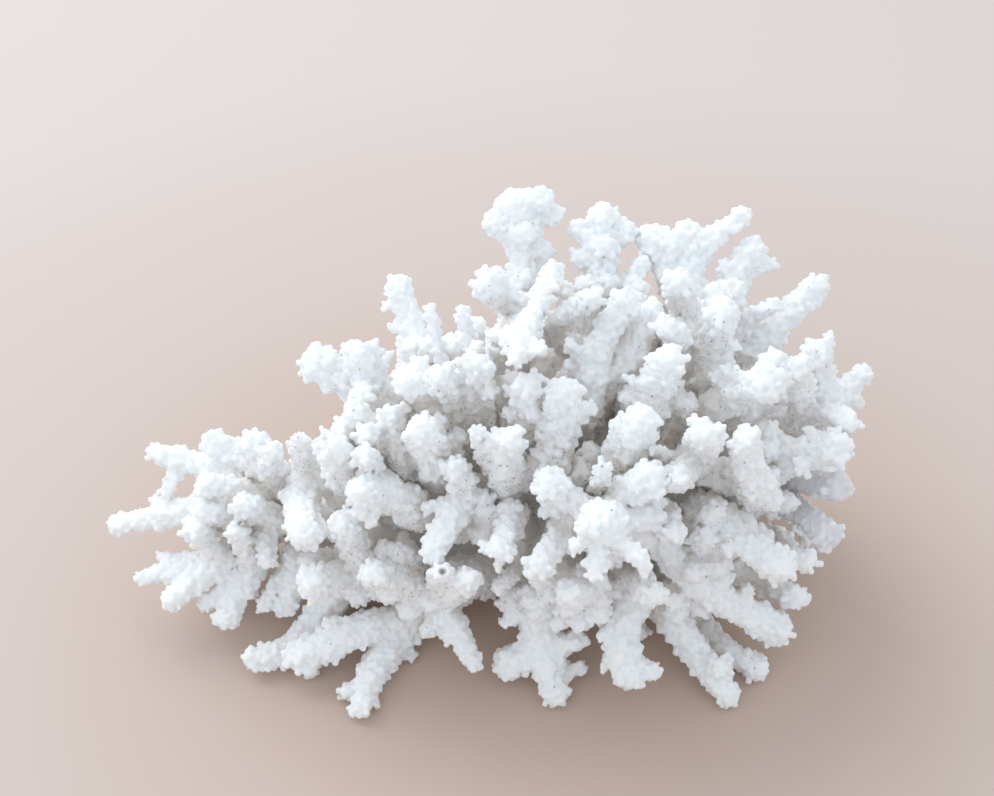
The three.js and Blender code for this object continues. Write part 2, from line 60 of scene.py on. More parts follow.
# Each limb: name, path, branchlets. A row is x, y, z, radius over the nubs,
# from the root to the middle of the rounded tip. Kinds: n plain, b back and
# underside, i inner filler, f thin, h open tube, s smooth water-worn stub,
# k crowded.
LIMBS = [
    ("front_limb", (0,0,10,6.5,4.6,-7.5,19,6.1,8.4,-15.4,28.2,5.8,10.3,-21.4,36.3,5.5,10,-24,42,5.2), [
        ("n", (10.2,-22.8,39.2,4.5,17.8,-32.6,52.9,3,18.7,-40.6,59.9,2.6,19,-47.3,66.4,2.2)),
        ("n", (10.2,-22.8,39.2,6.9,11,-36.4,45.2,6.6,7.9,-49.4,62,5.8,6.5,-58.6,69.8,5.1)),
        ("n", (10.2,-22.8,39.2,4.5,3.9,-33.1,49.1,3.8,-1.7,-45.2,53.4,3.4,-6.7,-56,55.3,2.9)),
        ("n", (6.3,-59.4,68.8,2.6,4.3,-67.8,64.6,2)),
        ("n", (7.7,-59.4,68.9,2.6,15.2,-65.2,64.7,2)),
        ("n", (6,-59.2,69.1,2.1,0.3,-64.9,70,1.7)),
        ("n", (9.6,-46.5,57.6,3,16.4,-50.1,59.5,2.4)),
        ("n", (6.3,-58.6,69.8,2.8,2.5,-63.5,73.3,2.3)),
        ("n", (10.2,-22.8,39.2,4.5,2.6,-33.7,47.6,4.3,-1.4,-41.9,62,3.9,-4.6,-49.4,73.5,3.4)),
        ("n", (-0.2,-39,56.6,2.3,-5.2,-41.7,58,1.8)),
        ("n", (0.1,-38.8,56.9,2.8,0.7,-37.6,61.6,1.8)),
        ("n", (10.2,-22.8,39.2,4.5,9.6,-38.5,45.6,4.4,12.4,-44.6,66,4.2,16.9,-49.7,75.2,3.8)),
        ("n", (12,-43.6,63.9,2.3,10.8,-44,68.4,1.8)),
        ("i", (10,-24,42,4.6,13.5,-34.1,47,3.8,18.2,-40,47.8,2.9)),
        ("i", (10,-24,42,4.6,3.9,-28.8,54.5,3.8,3.6,-32.9,62,2.9)),
        ("i", (10,-24,42,4.6,3.7,-24.6,55.3,3.7,5.8,-26.6,62.3,2.9)),
        ("b", (8.4,-15.4,28.2,3.9,19.7,-16.9,32.4,3.4,25.7,-18.2,35.1,2.6)),
        ("b", (10.2,-22.8,39.2,3.9,19.3,-22.7,46.6,3.4,24.2,-22.9,51.3,2.6)),
        ("n", (7.4,-49.5,62.1,3.4,2.9,-48.2,65.3,3.2,-0.6,-47.4,67.9,2.9)),
        ("n", (8.6,-51.2,63.1,3.6,13.5,-51.4,64.5,3.2,18.7,-50.3,64.3,2.6)),
    ]),
    ("low_front_limb", (0,0,10,6.9,3.3,-12.4,12.7,6.6,4.2,-21.8,18,6.2,4,-27.4,23.3,5.9,4,-30,26,5.6), [
        ("n", (4,-28.8,24.7,5.7,18.2,-31.8,24.6,5.5,14.5,-42,19.3,4.8,15.6,-51.1,14.5,4.1)),
        ("n", (14.3,-44.3,18.1,2.2,10.3,-48,13.4,1.5)),
        ("n", (15.6,-48.8,15.8,2.7,21.4,-51.1,14.5,2.2)),
        ("n", (15.9,-37,21.9,2.5,9.2,-39.2,20.7,1.7)),
        ("n", (14.7,-42,19.3,2,9.5,-44.3,19.7,1.5)),
        ("n", (4,-28.8,24.7,4.5,17.1,-33.1,29.3,3.7,18.6,-45.7,37.7,3.2,19.5,-55.9,45.7,2.7)),
        ("n", (4,-29.1,25.1,4.5,10.6,-33.2,26,3.7,4.6,-46.7,37.5,3.3,-0.2,-57.9,48.1,2.9)),
        ("n", (4,-25.1,21.2,6.3,-5.2,-30.6,17.9,6,-4,-39.9,7.9,4.6,-1.4,-48.7,3.5,3.2)),
        ("n", (-5.3,-34.4,13.8,4.3,-11.5,-33,20.4,3.7)),
        ("f", (-11.7,-33,20.4,1.5,-14.3,-30.3,24,1.2)),
        ("n", (-11,-33.3,19.5,1.7,-15.5,-33.2,19.6,1.2)),
        ("n", (-9.7,-33.8,17.6,2,-14,-37,16.8,1.5)),
        ("n", (-4.6,-37.9,10,4.3,-13.3,-42.6,7.2,3.5)),
        ("n", (-3.7,-38.9,8.9,3.5,4.1,-39.5,13,2.7)),
        ("n", (-2.8,-42.5,5.1,2.8,5.2,-40.8,4,1.8)),
        ("f", (-4,-37.9,10,1.5,-1.6,-37.3,17.2,1.2)),
        ("i", (4,-30,26,4.6,-0.8,-37.2,30.7,3.8,-3.9,-42.1,32.7,2.9)),
        ("i", (4,-26.8,22.7,4.6,1,-34.6,21.8,3.8,-0.9,-39.7,20.4,2.9)),
        ("i", (4,-30,26,4.6,6.8,-38,30.3,3.8,8.5,-43.4,32,2.9)),
        ("i", (4,-30,26,4.6,5.9,-38.4,34.5,3.8,7.2,-44.1,38.9,2.9)),
        ("i", (4,-30,26,4.6,7,-37.5,26.5,3.8,8.9,-42.4,25.9,2.9)),
        ("i", (4,-30,26,4.6,-2.2,-36.2,25.7,3.8,-6.2,-40.4,24.6,2.9)),
        ("i", (4,-30,26,4.6,2.2,-37.5,27.6,3.8,1,-42.4,27.8,2.9)),
        ("i", (4,-26,22,4.6,-2,-33.2,20.2,3.8,-5.8,-38,18,2.9)),
        ("i", (4,-30,26,4.6,-1.9,-37.2,33.5,3.8,-5.8,-42.1,37.2,2.9)),
        ("i", (4,-30,26,4.6,4,-37.1,24.4,3.8,3.9,-41.7,22.6,2.9)),
        ("i", (4,-30,26,4.6,-3.1,-36.6,28.5,3.8,-7.8,-41,29,2.9)),
        ("b", (4.2,-21.8,18,3.9,0,-21.9,32.6,3.4,-2.4,-22.5,41.6,2.6)),
    ]),
    ("lower_right_limb", (0,0,10,6.9,13.9,-7.4,12.6,6.5,24.9,-16.4,18.9,6,31.6,-23.6,25.8,5.6,34,-26,30,5.2), [
        ("n", (32.9,-24.9,27.9,4.8,33.9,-27,46.2,4.6,41.5,-38.1,45.9,4.1,49,-46.8,46,3.7)),
        ("n", (36.6,-31.2,46.1,2.9,33.7,-36.8,51.8,2.3)),
        ("n", (41.2,-38.3,45.6,2.1,37.6,-42.4,46.9,1.6)),
        ("n", (30.9,-22.9,24.9,4.5,53.3,-13.3,23.9,3.1,56.3,-25.7,30.6,2.9,58.1,-36.2,36.8,2.6)),
        ("n", (26.3,-18,20.3,4.5,50.2,-16.8,12.9,3.4,55.1,-24.9,15.6,3.2,59,-30.9,19.3,3)),
        ("n", (32.5,-24.5,27.2,4.5,21.6,-32.8,42.6,3.8,33.4,-36.3,29.1,4,45.4,-36.3,19.6,4.1,53.7,-35,12.4,4.3)),
        ("n", (32.3,-35.8,30.8,2.4,32.6,-38.4,37.2,1.9)),
        ("n", (44,-36.2,20.9,2.2,45.4,-35.6,26.6,1.7)),
        ("n", (26.3,-18,20.3,5,26,-28.8,16.6,4.8,34.4,-39.6,7.6,3.9,41.2,-48.8,3.2,3)),
        ("n", (38.2,-43.5,4.6,3.5,38.5,-45.7,9.7,3.2)),
        ("n", (16,-8.7,13.2,4.5,34.7,-21.8,4.1,3.7,42.3,-34,3.8,3.4,49.6,-40.5,3.4,3.1)),
        ("n", (32.5,-24.5,27.2,4.5,23.1,-32.3,49.5,3.3,22.7,-43.4,57.3,2.9,22.6,-53.9,62.9,2.4)),
        ("i", (34,-26,30,4.6,33.4,-33.4,41,3.8,33.1,-38.4,46.9,2.9)),
        ("i", (34,-26,30,4.6,31.9,-34.7,35.2,3.8,30.6,-40.5,37.5,2.9)),
        ("i", (34,-26,30,4.6,36.6,-32.4,31.5,3.8,38.4,-36.5,31.7,2.9)),
        ("i", (30,-22,24,4.6,32.8,-29.3,21.8,3.8,34.7,-34.2,19.5,2.9)),
        ("i", (34,-26,30,4.6,42.4,-29,37,3.8,48,-31.1,40.3,2.9)),
        ("i", (34,-26,30,4.6,39.3,-30.5,40.9,3.8,42.9,-34,46.7,2.9)),
        ("i", (30,-22,24,4.6,29.2,-32,25.8,3.8,27.3,-38.4,25.7,2.9)),
        ("i", (28.9,-20.9,22.9,4.6,28.6,-30.1,21.3,3.8,28.5,-36.1,19.3,2.9)),
        ("i", (34,-26,30,4.6,36.6,-32,40.9,3.8,38.4,-36.1,46.7,2.9)),
        ("i", (34,-26,30,4.6,34.4,-31.7,44.9,3.8,34.7,-35.5,53,2.9)),
        ("i", (34,-26,30,4.6,35.7,-33.1,34.5,3.8,36.9,-37.7,36.6,2.9)),
        ("i", (34,-26,30,4.6,32.9,-33.9,31,3.8,32.2,-39.1,30.7,2.9)),
        ("b", (16,-8.7,13.2,3.9,18.2,-22.3,8.2,3.4,20,-30.2,5.6,2.6)),
        ("b", (23.3,-14.7,17.5,3.9,33.9,-11,22.8,3.4,39.7,-9.6,25.8,2.6)),
        ("b", (21.6,-13,16.2,3.9,34.7,-13.1,10.9,3.4,42.5,-13.6,8.2,2.6)),
    ]),
    ("front_left_limb", (0,0,10,6.9,-10.5,-10.8,11.1,6.6,-21.4,-19.8,15.9,6.2,-30.4,-25.1,21.3,5.9,-36,-26,24,5.6), [
        ("n", (-29.3,-24.6,20.7,5,-31.2,-27.8,16.7,4.3,-26.5,-36.1,14.7,3.3,-22.2,-44.8,11.2,2.5)),
        ("n", (-28.9,-31.9,15.8,3.3,-33.3,-36.5,13.3,2.3)),
        ("n", (-27.3,-35.2,14.8,2.5,-28.4,-38.7,13.6,2)),
        ("n", (-28,-24,20,4.5,-30.5,-27.5,15.4,3.8,-26,-40.7,32.6,3.4,-22.6,-52.3,47.1,2.9)),
        ("h", (-29.3,-24.6,20.7,4.5,-30.4,-28,18.1,3,-29.3,-41,35.6,2.8,-28.3,-53.2,50.3,2.5)),
        ("n", (-32.4,-25.5,22.2,5,-34.2,-28.4,19.2,4.8,-39.9,-37.4,32.9,4,-44.4,-46.6,43,3.2)),
        ("n", (-39.1,-36,31.7,3.1,-43.2,-32.9,38.3,2.4)),
        ("n", (-37.3,-33.5,28.7,3.4,-38.7,-26.2,34.5,2.7)),
        ("n", (-31.4,-25.3,21.8,5.1,-38,-26.7,8.7,4.9,-53,-35.6,10.9,4.5,-65.2,-41,8.7,4.1)),
        ("n", (-54.5,-36,10.5,2.6,-57.6,-37,15.8,2)),
        ("n", (-23.2,-21,17,5.2,-39.8,-28.5,5.4,5,-46.4,-41.1,4.4,4,-49.4,-52.2,3.2,3)),
        ("n", (-47.9,-44.5,3.2,2.8,-53.1,-47.3,2.5,2.3)),
        ("n", (-41.5,-29.8,2.7,2.3,-38,-34.6,1.9,1.6)),
        ("i", (-36,-26,24,4.6,-37.8,-31.9,33.5,3.8,-39,-35.8,38.5,2.9)),
        ("i", (-36,-26,24,4.6,-39.4,-31.7,25.2,3.8,-42.7,-35,25.2,2.9)),
        ("i", (-30.4,-25.1,21.3,4.6,-34.9,-30.2,19.5,3.8,-37.9,-33.7,17.5,2.9)),
        ("i", (-29.3,-24.6,20.7,4.6,-31,-31,22.1,3.8,-32.1,-35.1,22.3,2.9)),
    ]),
    ("left_front_limb", (0,0,10,6.5,-25.1,-4.6,19.1,6,-41.6,-8.2,27.5,5.6,-50.2,-10.6,33.4,5.2,-54,-12,36,4.7), [
        ("n", (-43.4,-8.7,28.8,5,-35.6,-29.7,48.3,4.8,-40.8,-34.5,56.9,4.3,-46.1,-40.2,62.6,3.8)),
        ("n", (-44.3,-38.3,60.2,2.1,-44.3,-43.3,57.1,1.6)),
        ("n", (-40.2,-33.8,56.2,2.6,-41.8,-34.9,61.2,1.8)),
        ("n", (-44.8,-38.8,61.1,2.7,-47,-42.6,59.6,2)),
        ("n", (-53.3,-11.8,35.5,5.1,-62,-3.5,41.2,4.9,-63,-23.3,45.1,4.2,-60.7,-39.2,49.2,4.1)),
        ("n", (-63.2,-20.9,44.6,2.5,-67.2,-22.7,45.7,2)),
        ("n", (-61.5,-33.3,47.7,2.1,-56.7,-36.2,47.3,1.4)),
        ("n", (-53.3,-11.8,35.5,4.5,-61.2,-7.9,38.9,3.6,-62.9,-16.6,52.2,2.8,-62.5,-23.6,64.4,2.1)),
        ("n", (-62.8,-18.4,55.3,1.9,-65.6,-17.1,57.1,1.5)),
        ("n", (-52.7,-11.5,35.1,4.6,-52.2,-21,48.4,4.4,-52.6,-28.9,61.2,3.9,-52.5,-33.2,69.4,3.4)),
        ("n", (-52.7,-11.5,35.1,4.5,-53.1,-18.1,50.3,2.2,-55.3,-21.2,59.3,1.8,-56.1,-24.2,66.7,1.4)),
        ("n", (-52.7,-11.5,35.1,4.5,-43.5,-26.2,48.5,3.4,-44.9,-31.7,62.1,3,-45.5,-35.9,69.9,2.7)),
        ("b", (-32,-6,22,3.9,-42.7,1.2,26,3.4,-49.2,5,28.5,2.6)),
        ("b", (-49.2,-10.3,32.8,3.9,-51.5,-6.9,45,3.4,-53.4,-5.1,52.4,2.6)),
    ]),
    ("left_arm", (0,0,10,7.3,-29.5,-3.3,14.5,6.8,-51,-4.2,19.1,6.2,-67.6,-4,23.1,5.7,-84,-4,26,5.2), [
        ("n", (-81.3,-4,25.5,4.5,-82.4,-13.7,34.7,4.3,-100,-11.8,30.2,3.5,-114.6,-11.1,25,2.6)),
        ("n", (-101.7,-11.5,29.7,2.1,-103.9,-9.8,31.9,1.5)),
        ("n", (-78.5,-4,25,4.5,-78.8,-9.4,38.7,4.1,-93.2,-5.2,41.4,3.3,-103.5,-2.5,42.5,2.6)),
        ("n", (-97.4,-4.1,41.9,2.3,-100.2,-10.1,35.9,1.8)),
        ("n", (-70.4,-4,23.6,4.5,-72.3,-9.5,40.1,4.1,-79.6,-7.6,45.2,3.4,-86.7,-6.3,49,3.4)),
        ("n", (-67.6,-4,23.1,4.8,-71.4,-10.2,39.2,4.6,-73.7,-12.3,47.9,4,-75.1,-14.5,54.9,4)),
        ("n", (-67.6,-4,23.1,4.5,-71.4,-9.8,39.7,3.6,-71.7,-16,50.1,3.1,-69.6,-21.5,58.9,2.6)),
        ("n", (-81.3,-4,25.5,4.7,-84.3,-15.1,16.7,4.4,-95.4,-18.2,17.9,3.4,-106.6,-22.3,17.3,2.3)),
        ("n", (-98.4,-19,18.1,2.3,-102.2,-17.5,20.1,1.8)),
        ("n", (-78.5,-4,25,4.7,-81.7,-15.1,16.7,4.4,-91.2,-20.5,17.6,3.7,-98.4,-27.8,15,3.1)),
        ("n", (-81.3,-4,25.5,4.5,-84.3,-15.1,16.7,3.7,-87.4,-21.7,27.4,3.2,-89.7,-26.5,37.8,3.3)),
        ("n", (-73.1,-4,24.1,4.5,-78.3,-15.1,16.7,3.4,-78.5,-23.2,28.1,2.9,-78.9,-29,39.5,2.4)),
        ("n", (-70.4,-4,23.6,4.5,-72.9,-16.8,32.4,3,-73.4,-24.5,32.2,2.7,-72.3,-31,32,2.4)),
        ("n", (-75.8,-4,24.6,4.5,-82.7,-19,15,3.1,-87.1,-22.4,12.3,2.7,-91.3,-25,10.5,2.3)),
        ("n", (-73.1,-4,24.1,4.5,-80.3,-18.3,14.3,3.6,-83.4,-23.8,11.5,3.2,-85.3,-28.3,9.6,3.4)),
        ("n", (-64.8,-4,22.6,4.5,-71.3,-17.5,13.6,2.9,-74.3,-21.8,11.6,2.5,-76.4,-25.3,10.1,2.1)),
        ("n", (-62,-4,22,4.5,-67.8,-14.7,21.1,3.4,-68.9,-20,14.3,3.1,-70.8,-24.6,9.4,2.8)),
        ("n", (-75.8,-4,24.6,4.5,-75.4,-13.7,36.4,4,-81.9,-16.5,42.3,3.6,-86.8,-19.7,46.5,3.2)),
        ("n", (-75.8,-4,24.6,4.5,-77.4,-16,31.7,3.8,-82.9,-20.4,37.5,3.4,-87.3,-24.4,42.2,2.9)),
        ("n", (-67.6,-4,23.1,4.5,-69.6,-16.8,32.4,3.8,-74.1,-21.5,39.5,3.3,-77,-25.5,45.6,2.9)),
        ("i", (-84,-4,26,4.6,-88.7,-10.4,26.9,3.8,-91.7,-14.5,26.8,2.9)),
        ("b", (-75.8,-4,24.6,4.6,-80.1,1,19.9,3.9,-84,5.7,14.4,3.4,-86.9,8.7,11.6,2.7)),
        ("b", (-84,-4,26,4.6,-89.6,-1.8,20.4,3.9,-94.7,0.1,14,3.4,-98.2,1.5,10.6,2.7)),
        ("b", (-67.6,-4,23.1,4.6,-71.5,5.6,21.3,3.9,-75,14.4,17.9,3.4,-77.7,20.1,16.8,2.7)),
        ("b", (-73.1,-4,24.1,4.6,-76.1,-6.5,18.7,3.9,-78.9,-8.8,12.6,3.4,-80.9,-10.1,9.2,2.7)),
        ("b", (-84,-4,26,4.6,-88.6,3.2,23.4,3.9,-92.7,9.9,19.5,3.4,-95.5,14.2,17.9,2.7)),
        ("b", (-84,-4,26,4.6,-87.9,-6.7,19.8,3.9,-91.5,-9.2,12.8,3.4,-94,-10.7,8.9,2.7)),
        ("b", (-29.5,-3.3,14.5,3.9,-43.7,3.1,8.9,3.4,-52.6,6.7,5.8,2.6)),
        ("b", (-53.8,-4.2,19.9,3.9,-62.4,7.2,23.7,3.4,-68.1,13.8,26.1,2.6)),
        ("b", (-56.5,-4.1,20.6,3.9,-66.8,-6.6,12.7,3.4,-73,-8,8.6,2.6)),
        ("b", (-51,-4.2,19.1,3.9,-64.3,1.4,13.9,3.4,-72.8,4.7,11,2.6)),
        ("b", (-70.4,-4,23.6,3.9,-80.1,6.1,26.4,3.4,-86.5,12.1,28.1,2.6)),
        ("b", (-81.7,7.6,26.8,3.2,-81.6,12.3,28.4,3.1,-81.2,16.2,29.3,3)),
    ]),
    ("mid_low_limb", (0,0,10,6,-6.1,-7.8,19,5.7,-11.4,-13.4,28.4,5.4,-14.8,-17.1,35.9,5.1,-16,-20,40,4.7), [
        ("n", (-15.4,-18.6,38,5,-20,-25.2,49.3,4.8,-25.7,-36.9,53.8,3.9,-30.5,-47.7,51.4,2.9)),
        ("n", (-25.4,-35.3,53.5,2.1,-32.3,-36.5,55.2,1.4)),
        ("n", (-22.5,-29.6,51.1,3.1,-19.5,-33.9,55.4,2.6)),
        ("n", (-15.4,-18.6,38,4.5,-11.5,-31.3,47.8,3.3,-13.5,-42.4,53.8,2.9,-15.3,-53.4,57,2.4)),
        ("n", (-14.4,-48,55.4,1.8,-18.2,-49.8,54.7,1.6)),
        ("f", (-15.1,-52.1,56.5,1.6,-15.6,-53.1,52,1.1)),
        ("n", (-12.3,-35.6,50,1.9,-10.6,-37.2,51.2,1.4)),
        ("n", (-15,-17.6,36.7,4.5,-10.3,-30.2,31.5,2.2,-13.4,-40.1,35.4,1.9,-15.8,-47.8,39.9,1.6)),
        ("n", (-15.6,-19,38.6,4.5,-21.5,-27.9,46.1,3.4,-24,-34.5,61.5,3,-25.4,-39.8,69.7,2.7)),
        ("i", (-16,-20,40,4.6,-14.7,-31.4,47,3.8,-13.1,-36.4,53.5,2.9)),
        ("i", (-16,-20,40,4.6,-18.9,-29.4,46.7,3.8,-18.9,-34.7,52,2.9)),
        ("i", (-16,-20,40,4.6,-18.4,-29.4,44.1,3.8,-20,-35.5,45.6,2.9)),
        ("i", (-16,-20,40,4.6,-13.9,-28.1,43,3.7,-12.6,-33.5,44.1,2.9)),
        ("b", (-8.9,-11,23.5,3.9,-20,-13.1,27.4,3.4,-26.2,-14.6,30.1,2.6)),
        ("b", (-12.1,-14.1,29.9,3.9,-21.7,-11.5,36.4,3.4,-27.1,-10.4,40.4,2.6)),
        ("b", (-15,-17.6,36.7,3.9,-23.5,-25.6,38.6,3.4,-28.5,-30.4,40.3,2.6)),
    ]),
    ("right_limb", (0,0,10,6.5,15.4,0.4,17.1,6,27.9,-2.8,28.1,5.6,36.1,-7.1,38.6,5.2,40,-10,44,4.7), [
        ("n", (38.1,-8.6,41.4,4.7,31.4,-23.9,57.4,4.5,30.2,-34.4,71.9,3.9,28.4,-44.6,82.9,3.2)),
        ("n", (29,-40.7,79,1.7,26.7,-41.3,84.7,1.3)),
        ("n", (28.9,-42,80.3,1.7,31.8,-43.9,84.3,1.3)),
        ("n", (29.3,-38.1,76.4,1.8,25.9,-40.6,79.7,1.3)),
        ("n", (37.5,-8.1,40.5,4.5,33.8,-15,64.9,3.8,40.6,-20.8,76.5,4.2,43.6,-28.2,84.4,4.5)),
        ("n", (43.2,-27.1,83.6,3.4,45.5,-26.2,89.7,2.7)),
        ("n", (38.3,-18.4,72.6,2.1,34.7,-17.7,78.4,1.4)),
        ("n", (39.7,-20,75.3,1.9,36.6,-19.2,81.2,1.4)),
        ("n", (41.1,-21.6,77.8,1.8,39.1,-21.8,82.4,1.4)),
        ("n", (43.6,-28.3,84.3,2.9,47,-30,87,2.4)),
        ("n", (38.7,-9,42.2,5.5,45,-17.3,38.2,5.2,41.5,-29.8,60.4,4,38.5,-41.8,78.4,2.8)),
        ("n", (43.7,-21.9,46.9,4.4,44.7,-28.1,51.4,3.8)),
        ("n", (45,-20.4,43.9,3.4,51.3,-22.2,44.1,3.1,54.9,-23.7,44.6,2.7)),
        ("n", (43,-23.6,49.6,3.4,37.7,-25.4,52.8,2.9,34.4,-26.1,54.7,2.4)),
        ("n", (42.3,-25,52.6,2.9,36.3,-25.4,58.6,2.1)),
        ("n", (43.2,-26.8,55.1,2.1,49.3,-27.6,57.3,1.4)),
        ("n", (39.3,-9.5,43.1,4.7,46.4,-15.1,44.4,4.5,57,-19.4,56.2,4.1,63.8,-25.2,63.9,3.7)),
        ("n", (54.7,-18.1,53.7,2.2,53.3,-17.5,59.3,1.4)),
        ("n", (59,-20.8,58.4,2.4,58.6,-20.3,63.8,1.7)),
        ("n", (58.9,-20.9,58.2,2.4,55.8,-25.4,57.3,1.9)),
        ("n", (63.1,-24.6,62.8,2.3,63.8,-28.6,62.5,1.9)),
        ("n", (37.5,-8.1,40.5,4.5,30.6,-24.3,58.5,3.6,26.2,-37.6,66.7,3.2,22.7,-48.6,74.2,2.8)),
        ("n", (24,-44.6,71.3,1.8,20.7,-47.6,70.8,1.3)),
        ("f", (37.5,-8.1,40.5,4.5,29.6,-25.2,59,1.9,22.9,-33.3,67.7,1.6,18,-41.5,76.7,1.3)),
        ("i", (40,-10,44,4.6,45.5,-18.7,49.3,3.8,49.1,-24.2,51.6,2.9)),
        ("i", (40,-10,44,4.6,45.9,-13.6,54.7,3.8,49.7,-15.9,60.3,2.9)),
        ("i", (40,-10,44,4.6,45.4,-16.2,53.3,3.8,48.9,-20.1,58,2.9)),
        ("i", (40,-10,44,4.6,44.8,-5.6,58.2,3.8,47.9,-2.8,65.8,2.9)),
        ("i", (40,-10,44,4.6,44,-10.4,59.2,3.8,45.8,-10.2,67.8,2.9)),
        ("i", (40,-10,44,4.6,42.2,-17,55.5,3.8,43.7,-21.5,61.5,2.9)),
        ("b", (12.9,0.4,15.8,3.9,25.1,-3.6,13,3.4,32.1,-5.8,11.9,2.6)),
        ("b", (17.8,0.3,18.5,3.9,30.2,1.3,10.5,3.4,38.2,1.8,6.2,2.6)),
        ("b", (24.1,-1.1,23.8,3.9,22.9,-7.9,34.1,3.4,22.8,-11.7,40.1,2.6)),
        ("n", (48.6,-32.2,53.3,3,43.2,-37.7,62.5,3.5,40.1,-40.4,72,3.1,38.9,-39.2,78.5,2.7)),
    ]),
    ("upper_right_limb", (0,0,10,6,7.8,1.9,23.5,5.7,13.5,0.2,37.4,5.4,16.8,-2.6,49.4,5.1,18,-4,58,4.7), [
        ("n", (17.4,-3.3,53.8,4.9,17.7,-21.5,67.4,4.7,19.2,-24.4,79.9,4.1,22.2,-27.4,90.3,3.5)),
        ("n", (18.9,-24.1,78.3,1.8,14.7,-23.8,82,1.4)),
        ("n", (18.2,-22.9,73.9,2.1,13.5,-23.3,76.6,1.6)),
        ("n", (20.4,-25.6,83.9,2,18.2,-24.8,88.1,1.6)),
        ("n", (17,-2.9,50.9,5.2,13.8,-30.4,59,4.9,13.5,-35.4,70.7,4.5,15,-40.5,83,4.1)),
        ("n", (14,-37.3,75.6,2.2,10.7,-36.6,79.7,1.8)),
        ("n", (13.4,-34,68.1,2.3,9.3,-34.5,70.7,1.8)),
        ("n", (16.4,-2.3,47.8,4.5,11.1,-31.3,56.7,2.8,7.9,-37.8,61.4,2.4,6.6,-48,76.9,1.9)),
        ("i", (18,-4,58,4.6,26.9,-1.1,67.5,3.8,35.7,1.8,73.1,2.9)),
        ("i", (18,-4,58,4.6,18.1,0.8,71.5,3.8,14.4,3.4,79.4,2.9)),
        ("i", (18,-4,58,4.6,20.1,-15.2,66.9,3.8,21,-22.2,71.5,2.9)),
        ("i", (18,-4,58,4.6,22.3,-11.3,68.6,3.8,25,-16,74.1,2.9)),
        ("i", (18,-4,58,4.6,24.2,-13.3,66.8,3.8,28.1,-19.2,71.1,2.9)),
        ("i", (18,-4,58,4.6,18,-14.2,67.3,3.8,14.9,-20.3,74.4,2.9)),
        ("b", (7.8,1.9,23.5,3.9,0.7,9,35.1,3.4,-3.4,13.5,42.9,2.6)),
        ("b", (17,-2.9,50.9,3.9,18.3,5.6,60.2,3.4,19.1,10.6,66.5,2.6)),
        ("b", (18.9,9.3,64.9,2.8,18.6,10.9,72.4,2.9,18.4,12.2,79.2,2.9)),
    ]),
    ("top_limb", (0,0,10,6.9,4.6,7.5,19.9,6.3,8.2,15.2,34.9,5.8,10.6,21.8,50.4,5.3,12,26,62,4.7), [
        ("n", (8.2,15.2,34.9,4.7,5,-17.9,71.4,4.5,7.3,-14.8,84.1,3.7,12.9,-11.6,95.9,3)),
        ("n", (6.2,-15.7,80.9,2.3,1.2,-14.8,85.2,1.8)),
        ("n", (5.6,-16.6,76.3,2.1,0.7,-15.7,80.8,1.4)),
        ("n", (9.2,17.8,40.7,4.5,9.1,-13.3,73.7,4,15.5,-12,82,3.6,19.4,-9.2,90.9,3.2)),
        ("n", (10.6,21.8,50.4,4.5,8.7,-1.9,75.8,3.6,12.9,-6.7,86.3,3.2,13.8,-12.5,94.8,2.7)),
        ("n", (11.3,23.9,56.3,5.4,10.4,24.5,77.1,5.1,10.3,29.7,86.4,4.4,11,32.3,92,3.4)),
        ("n", (10.1,29.2,85.4,3.4,5,31.5,88.4,3)),
        ("n", (10.6,28.6,84.3,3.6,16.5,31.5,88,3.1)),
        ("n", (10.3,27.9,83.2,3.2,11.5,25,87.6,2.8)),
        ("n", (9.9,27.2,81.9,3,5.1,25,84,2.6)),
        ("n", (10.9,22.5,52.4,4.5,-1.5,7.6,73.4,3.2,0.8,-3.8,86.6,2.9,5.4,-14,97.7,2.5)),
        ("n", (0.2,-1.1,83.4,1.9,2.9,-0.9,88.5,1.7)),
        ("i", (12,26,62,4.6,12,22.2,73.4,3.8,12,19.8,79.7,2.9)),
        ("i", (12,26,62,4.6,16.5,21.4,73.1,3.8,19.4,18.5,79.2,2.9)),
        ("i", (12,26,62,4.6,8.5,20.9,73.9,3.8,6.2,17.8,80.4,2.9)),
        ("b", (12,26,62,4.6,11.7,32.5,67.5,3.9,11.5,38.4,71.4,3.4,11.3,42.2,74.2,2.7)),
        ("b", (7.2,12.6,29.1,3.9,10.3,27.8,30,3.4,12.3,37.4,31.1,2.6)),
        ("b", (8.2,15.2,34.9,3.9,19.5,12.6,41.7,3.4,25.8,11.4,46.1,2.6)),
        ("b", (9.2,17.8,40.7,3.9,16.9,13.7,49.8,3.4,21.2,11.8,55.4,2.6)),
        ("b", (9.2,17.8,40.7,3.9,7.8,29.3,44.4,3.4,7.1,35.7,47.1,2.6)),
        ("b", (10,20,46,3.9,14.1,31.1,49.2,3.4,16.4,37.4,51.5,2.6)),
        ("b", (11.5,24.6,58.1,3.9,10.9,39.1,59.8,3.4,10.5,48.8,61.6,2.6)),
        ("b", (11.8,25.3,60,3.9,2.8,32.2,66.4,3.4,-2.6,36.7,71.1,2.6)),
        ("n", (10.4,24.2,76.7,3.2,16.6,22,77.2,2.9,21,24.2,83.3,2.3)),
        ("b", (12,26,62,3.8,15.9,29.2,65.6,3.6,19.7,32.4,69.2,3)),
        ("b", (10.3,18.6,53.9,3.8,6.2,30.7,54.1,3.4,3,42.3,53.5,3)),
    ]),
    ("top_right_limb", (0,0,10,6.9,12.1,10.8,18.4,6.3,23.6,19.6,31.9,5.8,32.1,25.4,45.9,5.3,36,28,56,4.7), [
        ("n", (34.1,26.8,51,5.1,31.3,20.8,74,4.9,27.7,25.4,80.8,4.2,23.5,29.7,87,3.6)),
